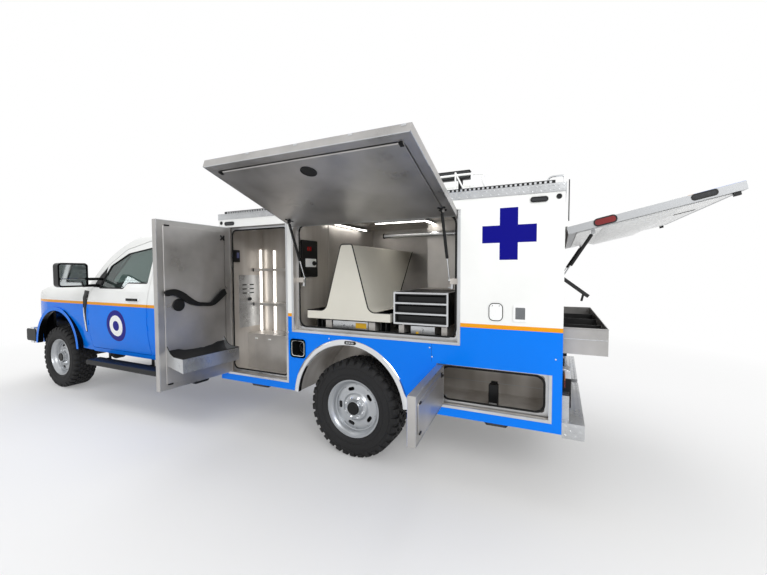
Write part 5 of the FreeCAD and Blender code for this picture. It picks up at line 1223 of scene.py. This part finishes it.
def front_locker_inside():
    """Shelves, a low box, light strips, clips, a slotted panel and a small display."""
    x_low, x_high = 0.6225, 1.3875
    slot_z = (1.344, 1.386, 1.429)
    y_back, y_shelf, y_box = 0.5055, 0.66, 0.745
    shelves, trim, white, black = Shape(), Shape(), Shape(), Shape()
    for z in (1.235, 1.596):
        shelves.box((x_low, x_high), (y_back, y_shelf), (z - 0.003, z))
        shelves.box((x_low, x_high), (y_shelf - 0.003, y_shelf), (z - 0.026, z))
        black.box((x_high - 0.014, x_high - 0.002), (y_shelf - 0.001, y_shelf + 0.004),
                  (z - 0.03, z + 0.004))
    shelves.box((x_low, x_high), (y_back, y_box), (0.563, 0.925))
    pair("locker_box", shelves, "inner_alloy", stands_for=("locker_shelves",), bevel=0.002)
    for x in (1.268, 1.094):
        white.box(about(x, 0.014), (y_box, y_box + 0.008), (0.872, 0.884))
    strips = Shape().box((x_high - 0.008, x_high), (0.533, 0.557), (0.93, 1.8))
    strips.box((1.216, 1.24), (y_back, y_back + 0.008), (0.93, 1.79))
    pair("locker_strips", strips, "lit", bevel=0.001)
    white.box((1.1, 1.132), (0.9, 0.93), (1.962, 1.982))
    for z in slot_z:
        white.drum((x_high - 0.004, 0.732, z), "X", 0.006, 0.006, 12)
    pair("locker_clips", white, "badge_white", bevel=0.001)
    trim.plate(rounded((0.562, 0.856), (0.99, 1.53), 0.008), "X", x_high - 0.002, x_high)
    trim.box((1.282, 1.2835), (y_box, y_box + 0.001), (0.57, 0.924))
    pair("locker_panel", trim, "edge", bevel=0.0008)
    for z in slot_z:
        for y in (0.682, 0.782):
            black.box((x_high - 0.0035, x_high - 0.0018), about(y, 0.028),
                      about(z, 0.006))
    black.drum((x_high - 0.01, 0.714, 1.279), "X", 0.017, 0.018, 20, 0.003)
    black.plate(rounded((0.862, 0.944), (1.66, 1.78), 0.006), "X", x_high - 0.03, x_high)
    black.box((1.108, 1.124), (0.928, 0.934), (1.966, 1.978))
    pair("locker_fittings", black, "black", bevel=0.0015)
    screen = Shape().box((x_high - 0.0315, x_high - 0.03), (0.872, 0.902), (1.7, 1.755))
    pair("locker_screen", screen, "blue_screen")


def rear_locker_inside():
    """A black box in its bracket, a latch, and a bright ledge with bolts."""
    black, bright = Shape(), Shape()
    black.plate(rounded((-1.16, -1.094), (0.57, 0.735), 0.008), "Y", 0.82, 0.872)
    black.box((-1.15, -1.104), (0.8, 0.82), (0.7, 0.745))
    black.box((-1.085, -1.02), (0.93, 0.96), (0.868, 0.8945))
    pair("rear_locker_fittings", black, "black", bevel=0.003)
    bright.box((-1.5375, -0.5365), (0.5055, 0.5075), (0.64, 0.645))
    bright.box((-1.155, -1.099), (0.872, 0.876), (0.574, 0.6))
    for x, z in ((-0.8, 0.64), (-1.45, 0.606)):
        bright.drum((x, 0.975, z), "Y", 0.01, 0.008, 14, 0.001)
    pair("rear_locker_trim", bright, "edge", bevel=0.001)


# Outside of the body: opening trims, filler, hatches, lamps, studs and roof gear

def opening_trims():
    """Bright strips beside the door openings, left off on the side of an upright hinge."""
    bars = Shape()
    wide, proud = 0.02, 0.0022
    ys = (side_y, side_y + proud)
    for ((low, high), zs), upright_hinge in ((lift_bay, False), (front_locker, True),
                                             (rear_locker, True)):
        end = high if upright_hinge else high + wide
        bars.box((low - wide, end), ys, (zs[0] - wide, zs[0] - eps))
        bars.box((low - wide, low - eps), ys, (zs[0] - eps, zs[1]))
        if not upright_hinge:
            bars.box((high + eps, end), ys, (zs[0] - eps, zs[1]))
    pair("opening_trim", bars, "edge", bevel=0.0008)


def filler():
    """A square bezel with round corners, a dark cup and a cap with a grip."""
    xs, zs = (0.412, 0.58), (0.812, 0.98)
    hole_x, hole_z = inset(xs, 0.02), inset(zs, 0.02)
    bezel = Shape().plate(rounded(xs, zs, 0.034, 8), "Y", side_y + eps, side_y + 0.004,
                          [rounded(hole_x, hole_z, 0.024, 8)])
    pair("filler_bezel", bezel, "badge_white", stands_for=("body_trim",), bevel=0.0012)
    cup = Shape()
    outer = rounded(hole_x, hole_z, 0.024, 8)
    inner = rounded(hole_x, hole_z, 0.021, 8, 0.003)
    cup.loft([[(a, side_y + y, b) for a, b in loop] for loop, y in
              ((outer, 0.003), (outer, -0.108), (inner, -0.105), (inner, 0.003))], closed=True)
    cup.box(hole_x, (side_y - 0.108, side_y - 0.105), hole_z)
    cap = Shape().drum((0, 0, 0), "Y", 0.036, 0.03, 28, 0.004)
    cap.box((-0.006, 0.006), (0.014, 0.028), (-0.032, 0.032))
    cup.join(cap, Matrix.Translation((0.505, side_y - 0.088, 0.888)) @ turned("Y", 35))
    pair("filler_cup", cup, "black", bevel=0.001)
    neck = Shape().lathe([(-0.006, 0.04), (0.01, 0.04), (0.01, 0.046), (-0.006, 0.046)],
                         (0.505, side_y - 0.098, 0.888), "Y", 32)
    pair("filler_neck", neck, "edge")


def side_fittings():
    """The small access lid and vent on the rear panel, studs and a panel joint."""
    ring, white, grey, dark = Shape(), Shape(), Shape(), Shape()
    lid = ((-1.214, -1.121), (1.227, 1.348))
    core = rounded(*lid, 0.027, 8, 0.005)
    ring.plate(rounded(*lid, 0.032, 8), "Y", side_y, side_y + 0.004, [core])
    white.plate(core, "Y", side_y, side_y + 0.005)
    for x in (-1.19, -1.145):
        ring.drum((x, side_y + 0.005, 1.33), "Y", 0.003, 0.002, 10)
    vent = ((-1.367, -1.28), (1.229, 1.339))
    hole = (inset(vent[0], 0.013), inset(vent[1], 0.016))
    white.plate(rounded(*vent, 0.008, 4), "Y", side_y, side_y + 0.008, [rounded(*hole, 0.003, 3)])
    dark.box(hole[0], (side_y, side_y + 0.001), hole[1])
    slats = 11
    for index in range(slats):
        z = hole[1][0] + (index + 0.5) * (hole[1][1] - hole[1][0]) / slats
        grey.loft([[(x, side_y + 0.001, z + 0.003), (x, side_y + 0.006, z - 0.0005),
                    (x, side_y + 0.006, z - 0.0025), (x, side_y + 0.001, z + 0.001)]
                   for x in hole[0]])
    studs = Shape()
    for x, z in ((0.174, 1.006), (-0.701, 1.006), (0.6, 1.03), (-1.54, 1.0), (-0.72, 0.94)):
        studs.drum((x, side_y + 0.001, z), "Y", 0.0055, 0.003, 12, 0.001)
    dark.box((-0.7165, -0.715), (side_y, side_y + 0.0004), (0.905, 1.034))
    pair("side_lid_ring", ring, "seal")
    pair("side_lid_and_vent", white, "badge_white", bevel=0.001)
    pair("side_vent_slats", grey, "grey_plastic")
    pair("side_vent_back", dark, "seal")
    pair("side_studs", studs, "chrome")


def rear_gear():
    """Corner strips, grab handles, rubber blocks, tail lamps and tread on the bumper."""
    dark, handle, block, cap, red = Shape(), Shape(), Shape(), Shape(), Shape()
    dark.box((-1.603, -1.5965), (0.985, 1.0), (1.88, 2.14))
    dark.box((-1.59, -1.5805), (1.03, 1.046), (0.96, 1.01))
    handle.tube(smooth([(-1.47, 1.0, 2.105), (-1.478, 1.0, 2.15), (-1.498, 1.0, 2.166),
                        (-1.53, 1.0, 2.167), (-1.562, 1.0, 2.166), (-1.572, 1.0, 2.15),
                        (-1.576, 1.0, 2.105)], 4), 0.0065, 10)
    block.box((-1.634, -1.5805), (0.764, 0.912), (0.652, 0.848))
    cap.plate([(-1.634, 0.8485), (-1.5805, 0.8485), (-1.5805, 0.912), (-1.598, 0.912),
               (-1.628, 0.898)], "Y", 0.764, 0.912)
    outline = rounded((0.92, 1.0), (0.8, 0.9), 0.012)
    dark.plate(outline, "X", -1.592, -1.5805)
    red.plate(rounded((0.926, 0.994), (0.806, 0.846), 0.008), "X", -1.597, -1.592)
    pair("rear_strips", dark, "black", stands_for=("marker_lamps",), bevel=0.002)
    pair("grab_handle", handle, "chrome")
    pair("rubber_block", block, "seal", bevel=0.006)
    pair("rubber_block_cap", cap, "edge", bevel=0.003)
    pair("tail_lens", red, "red_lens", bevel=0.002)
    amber = Shape().plate(rounded((0.926, 0.994), (0.852, 0.894), 0.008), "X", -1.597, -1.592)
    pair("tail_turn_lens", amber, "amber_lens", bevel=0.002)
    marks = Shape()
    across, up, deep = (0.07, 1.045), (0.505, 0.595), (-1.705, -1.59)
    tread_plate(marks, across, up, lambda a, b, h: (-1.71 - h, a, b))
    tread_plate(marks, across, deep, lambda a, b, h: (b, a, 0.6 + h))
    tread_plate(marks, deep, up, lambda a, b, h: (a, 1.05 + h, b))
    pair("bumper_marks", marks, "plate")


def roof_strips():
    """Clear teeth along the black lamp strips at the roof's edges, and arch lamps."""
    teeth = Shape()
    first, last, pitch = -1.5, 1.35, 0.03
    for index in range(int((last - first) / pitch)):
        x = first + index * pitch
        teeth.box((x, x + 0.014), (1.0302, 1.0318), (2.1195, 2.134))
        teeth.box((x, x + 0.014), (1.004, 1.0302), (2.1382, 2.1396))
    pair("roof_strip_teeth", teeth, "edge")
    lamp = Shape().plate(rounded((-0.085, 0.015), (0.974, 1.002), 0.01, 5), "Y", 1.0624, 1.071)
    lens = Shape()
    for index in range(5):
        x = -0.07 + index * 0.015
        lens.box((x, x + 0.009), (1.071, 1.0718), (0.981, 0.995))
    pair("arch_lamp", lamp, "black", stands_for=("marker_lamps",), bevel=0.002)
    pair("arch_lamp_lens", lens, "edge")


def roof_rail():
    """A white tube rail over the lift bay with a dark lamp box held in it."""
    y, top, low = 0.95, 2.252, 2.1005
    rail, lamp, face = Shape(), Shape(), Shape()
    rail.tube(smooth([(-0.1, y, low), (-0.13, y, 2.19), (-0.18, y, top), (-0.58, y, top),
                      (-1.02, y, top), (-1.052, y, 2.205), (-1.09, y, low)], 5), 0.008, 10)
    for x in (-0.3, -0.58, -0.86, -0.977):
        rail.tube([(x, y, low), (x, y, 2.276 if x == -0.86 else top)], 0.007, 8)
    for a, b in ((-0.86, -0.945), (-0.3, -0.385)):
        rail.tube([(a, y, 2.272), (b, y, low)], 0.006, 8)
    lamp.plate(rounded((-0.964, -0.61), (2.226, 2.291), 0.01), "Y", 0.9, 0.938)
    for x in (-0.89, -0.7):
        lamp.box(about(x, 0.015), (0.905, 0.93), (low, 2.227))
    face.plate(rounded((-0.955, -0.62), (2.236, 2.281), 0.006), "Y", 0.938, 0.941)
    pair("roof_rail", rail, "badge_white")
    pair("roof_lamp_box", lamp, "black", bevel=0.002)
    pair("roof_lamp_face", face, "smoke_lens", bevel=0.001)


# Cab: window seals, roundels, fender vents and mirror glass

def edge_loops(node):
    """The rims of a pane: closed rows of points where its faces meet at a sharp angle."""
    limit = math.radians(40)
    work = bmesh.new()
    work.from_mesh(nodes[node].data)
    bmesh.ops.remove_doubles(work, verts=work.verts, dist=1e-5)
    links = {}
    for edge in work.edges:
        if len(edge.link_faces) == 2 and edge.calc_face_angle() > limit:
            for vertex in edge.verts:
                links.setdefault(vertex, []).append(edge.other_vert(vertex))
    loops, done = [], set()
    for vertex in links:
        if vertex in done:
            continue
        loop = []
        while vertex is not None:
            done.add(vertex)
            loop.append(vertex.co - Vector((rear_axle_x, 0, 0)))
            vertex = next((other for other in links[vertex] if other not in done), None)
        loops.append(loop)
    work.free()
    return loops


def window_seals():
    """A black ring round every pane of the cab."""
    panes = {"glass_" + spot: "cab_door_" + spot
             for spot in ("front_left", "front_right", "rear_left", "rear_right")}
    panes["cab_glass"] = "truck"
    for node, body in panes.items():
        seal = Shape()
        for loop in edge_loops(node):
            if len(loop) > 7:
                seal.tube(loop, 0.013, 8, closed=True)
        piece(node + "_seal", seal, "seal", body)


def cab_badges():
    """A plain ringed disc on each front door, and the bright blade behind each fender."""
    tree = node_tree("cab_door_front_left", "cab_shell", "front_fenders")
    centre = (3.222, 0.922)

    def disc(radii, proud):
        return decal(tree, [(arc(centre, radius, 0, 352.5, 47), proud) for radius in radii])

    pair("roundel_rim", disc((0.188, 0.15, 0.11, 0.07), 0.0006), "badge_blue",
         door="cab_door_front")
    pair("roundel_field", disc((0.126, 0.1, 0.075, 0.05), 0.0012), "badge_white",
         door="cab_door_front")
    pair("roundel_core", disc((0.06, 0.04, 0.02), 0.0018), "badge_blue", door="cab_door_front")
    blade = ribbon([(3.858, 1.33, 0.052), (3.866, 1.23, 0.048), (3.872, 1.11, 0.036),
                    (3.862, 0.96, 0.02), (3.852, 0.81, 0.006)])
    strip = ribbon([(3.886, 1.12, 0.006), (3.878, 1.06, 0.011), (3.866, 0.96, 0.011),
                    (3.853, 0.82, 0.004)])
    for name, outline, finish, proud in (("fender_blade", blade, "black", 0.006),
                                         ("fender_strip", strip, "chrome", 0.011)):
        middle_x = sum(x for x, z in outline) / len(outline)
        crown = [(middle_x + (x - middle_x) * 0.75, z) for x, z in outline]
        pair(name, decal(tree, [(outline, proud * 0.4), (crown, proud)]), finish)


def mirror_glass():
    """The large face of each mirror and the small one below it."""
    ys, xs = (1.14, 1.4), (3.5535, 3.5578)
    face = Shape().plate(rounded(ys, (1.49, 1.65), 0.022), "X", *xs)
    face.plate(rounded(ys, (1.408, 1.482), 0.018), "X", *xs)
    pair("mirror_glass", face, "mirror", door="cab_door_front", bevel=0.0015)


def bumper_ends():
    """Black pads at the ends of the front bumper."""
    end = Shape().plate(rounded((5.2, 5.455), (0.58, 0.752), 0.03), "Y", 0.975, 0.9895)
    pair("bumper_end", end, "black", bevel=0.003)


def drawer_fittings():
    """A bead along the rear drawer's sides, and the folded arm that stands in it."""
    bead = Shape().box((-1.845, -1.585), (0.82, 0.823), (1.1, 1.106))
    pair("drawer_bead", bead, "edge", body="rear_drawer", bevel=0.001)
    arm = Shape()
    arm.tube([(-1.35, 0.8, 1.1805), (-1.35, 0.8, 1.69)], 0.013, 4)
    arm.tube([(-1.345, 0.8, 1.69), (-1.73, 0.8, 1.392)], 0.016, 4)
    arm.tube([(-1.7, 0.8, 1.412), (-1.688, 0.8, 1.36)], 0.01, 4)
    piece("drawer_arm", arm, "black", "rear_drawer", bevel=0.002)


for build in (wheels, roof_band, arch_rings, door_frames, badges, side_lamps, door_skins,
              lift_fittings, front_door_fittings, front_door_bin, rear_door_fittings,
              hatch_fittings, bay_walls, stepped_tray, slide_hardware, cabinet_frame,
              front_locker_inside, rear_locker_inside, roof_rail, opening_trims, filler,
              side_fittings, rear_gear, roof_strips, window_seals, cab_badges, mirror_glass,
              bumper_ends, drawer_fittings):
    build()


# Camera, floor and light

camera_place = (rear_axle_x - 1.557, 3.642, 1.563)
camera_angles = (25.36, 2.46, -0.14)
lens_mm = 17.5
# Name, place, target, size and power
lights = (("key", (-6.5, 7.5, 5.5), (-1.0, 0.5, 0.9), (5, 3), 420),
          ("top", (0.0, 0.0, 7.5), (0, 0, 0), (9, 6), 300),
          ("far_side", (4.0, -7.5, 5.0), (0, 0, 1.0), (6, 3), 300))


def place_camera():
    yaw, pitch, roll = (math.radians(angle) for angle in camera_angles)
    forward = Vector((math.sin(yaw) * math.cos(pitch), -math.cos(yaw) * math.cos(pitch),
                      -math.sin(pitch)))
    right = forward.cross(Vector((0, 0, 1))).normalized()
    up = right.cross(forward)
    turned_right = right * math.cos(roll) + up * math.sin(roll)
    turned_up = up * math.cos(roll) - right * math.sin(roll)
    data = bpy.data.cameras.new("camera")
    data.lens = lens_mm
    data.sensor_width = 36.0
    data.sensor_fit = "HORIZONTAL"
    data.clip_start = 0.05
    camera = new_object("camera", data)
    turn = Matrix((turned_right, turned_up, -forward)).transposed()
    camera.matrix_world = Matrix.Translation(camera_place) @ turn.to_4x4()
    scene.camera = camera


def area_light(name, location, target, size, power):
    data = bpy.data.lights.new(name, "AREA")
    data.shape = "RECTANGLE"
    data.size, data.size_y = size
    data.energy = power
    aim = Vector(target) - Vector(location)
    turn = aim.to_track_quat("-Z", "Y").to_matrix().to_4x4()
    new_object(name, data).matrix_world = Matrix.Translation(location) @ turn


def pale_floor():
    """White to the eye far off and greyer beside the truck, with its shadow kept."""
    kit = Nodes("floor_white", colour("#E4E4E4"), 0.8)
    path = kit.add("ShaderNodeLightPath")
    seen = kit.math("MAXIMUM", path.outputs["Is Camera Ray"], path.outputs["Is Glossy Ray"])
    seen = kit.math("MAXIMUM", seen, path.outputs["Is Transmission Ray"])
    offset = kit.add("ShaderNodeVectorMath", operation="SUBTRACT")
    kit.set(offset.inputs[0], kit.place())
    kit.set(offset.inputs[1], (rear_axle_x + 1.4, 0.0, 0.0))
    length = kit.add("ShaderNodeVectorMath", operation="LENGTH")
    kit.set(length.inputs[0], offset.outputs["Vector"])
    far = kit.spread(length.outputs["Value"], 0.2, 1.0, (3.0, 8.0))
    glow = kit.fill(kit.add("ShaderNodeEmission"), Color=(1, 1, 1, 1))
    blend = kit.add("ShaderNodeMixShader")
    for socket, value in zip(blend.inputs, (kit.math("MULTIPLY", seen, far),
                                            kit.shader.outputs["BSDF"],
                                            glow.outputs["Emission"])):
        kit.set(socket, value)
    kit.fill(kit.tree.nodes["Material Output"], Surface=blend.outputs["Shader"])
    return kit.material


def white_world():
    """Plain white to the eye and in reflections, softer as a light."""
    world = bpy.data.worlds.new("world")
    world.use_nodes = True
    tree = world.node_tree
    background = tree.nodes["Background"]
    background.inputs["Color"].default_value = (1, 1, 1, 1)
    path = tree.nodes.new("ShaderNodeLightPath")
    seen = path.outputs["Is Camera Ray"]
    for other in ("Is Transmission Ray", "Is Glossy Ray"):
        both = tree.nodes.new("ShaderNodeMath")
        both.operation = "MAXIMUM"
        tree.links.new(seen, both.inputs[0])
        tree.links.new(path.outputs[other], both.inputs[1])
        seen = both.outputs["Value"]
    strength = tree.nodes.new("ShaderNodeMapRange")
    strength.inputs["To Min"].default_value = 0.68
    strength.inputs["To Max"].default_value = 1.0
    tree.links.new(seen, strength.inputs["Value"])
    tree.links.new(strength.outputs["Result"], background.inputs["Strength"])
    return world


def stage_and_light():
    half = 40
    mesh = bpy.data.meshes.new("floor")
    mesh.from_pydata([(-half, -half, 0), (half, -half, 0), (half, half, 0), (-half, half, 0)],
                     [], [(0, 1, 2, 3)])
    floor = new_object("floor", mesh)
    mesh.materials.append(pale_floor())
    scene.world = white_world()
    for light in lights:
        area_light(*light)


place_camera()
stage_and_light()
scene.view_settings.view_transform = "Standard"
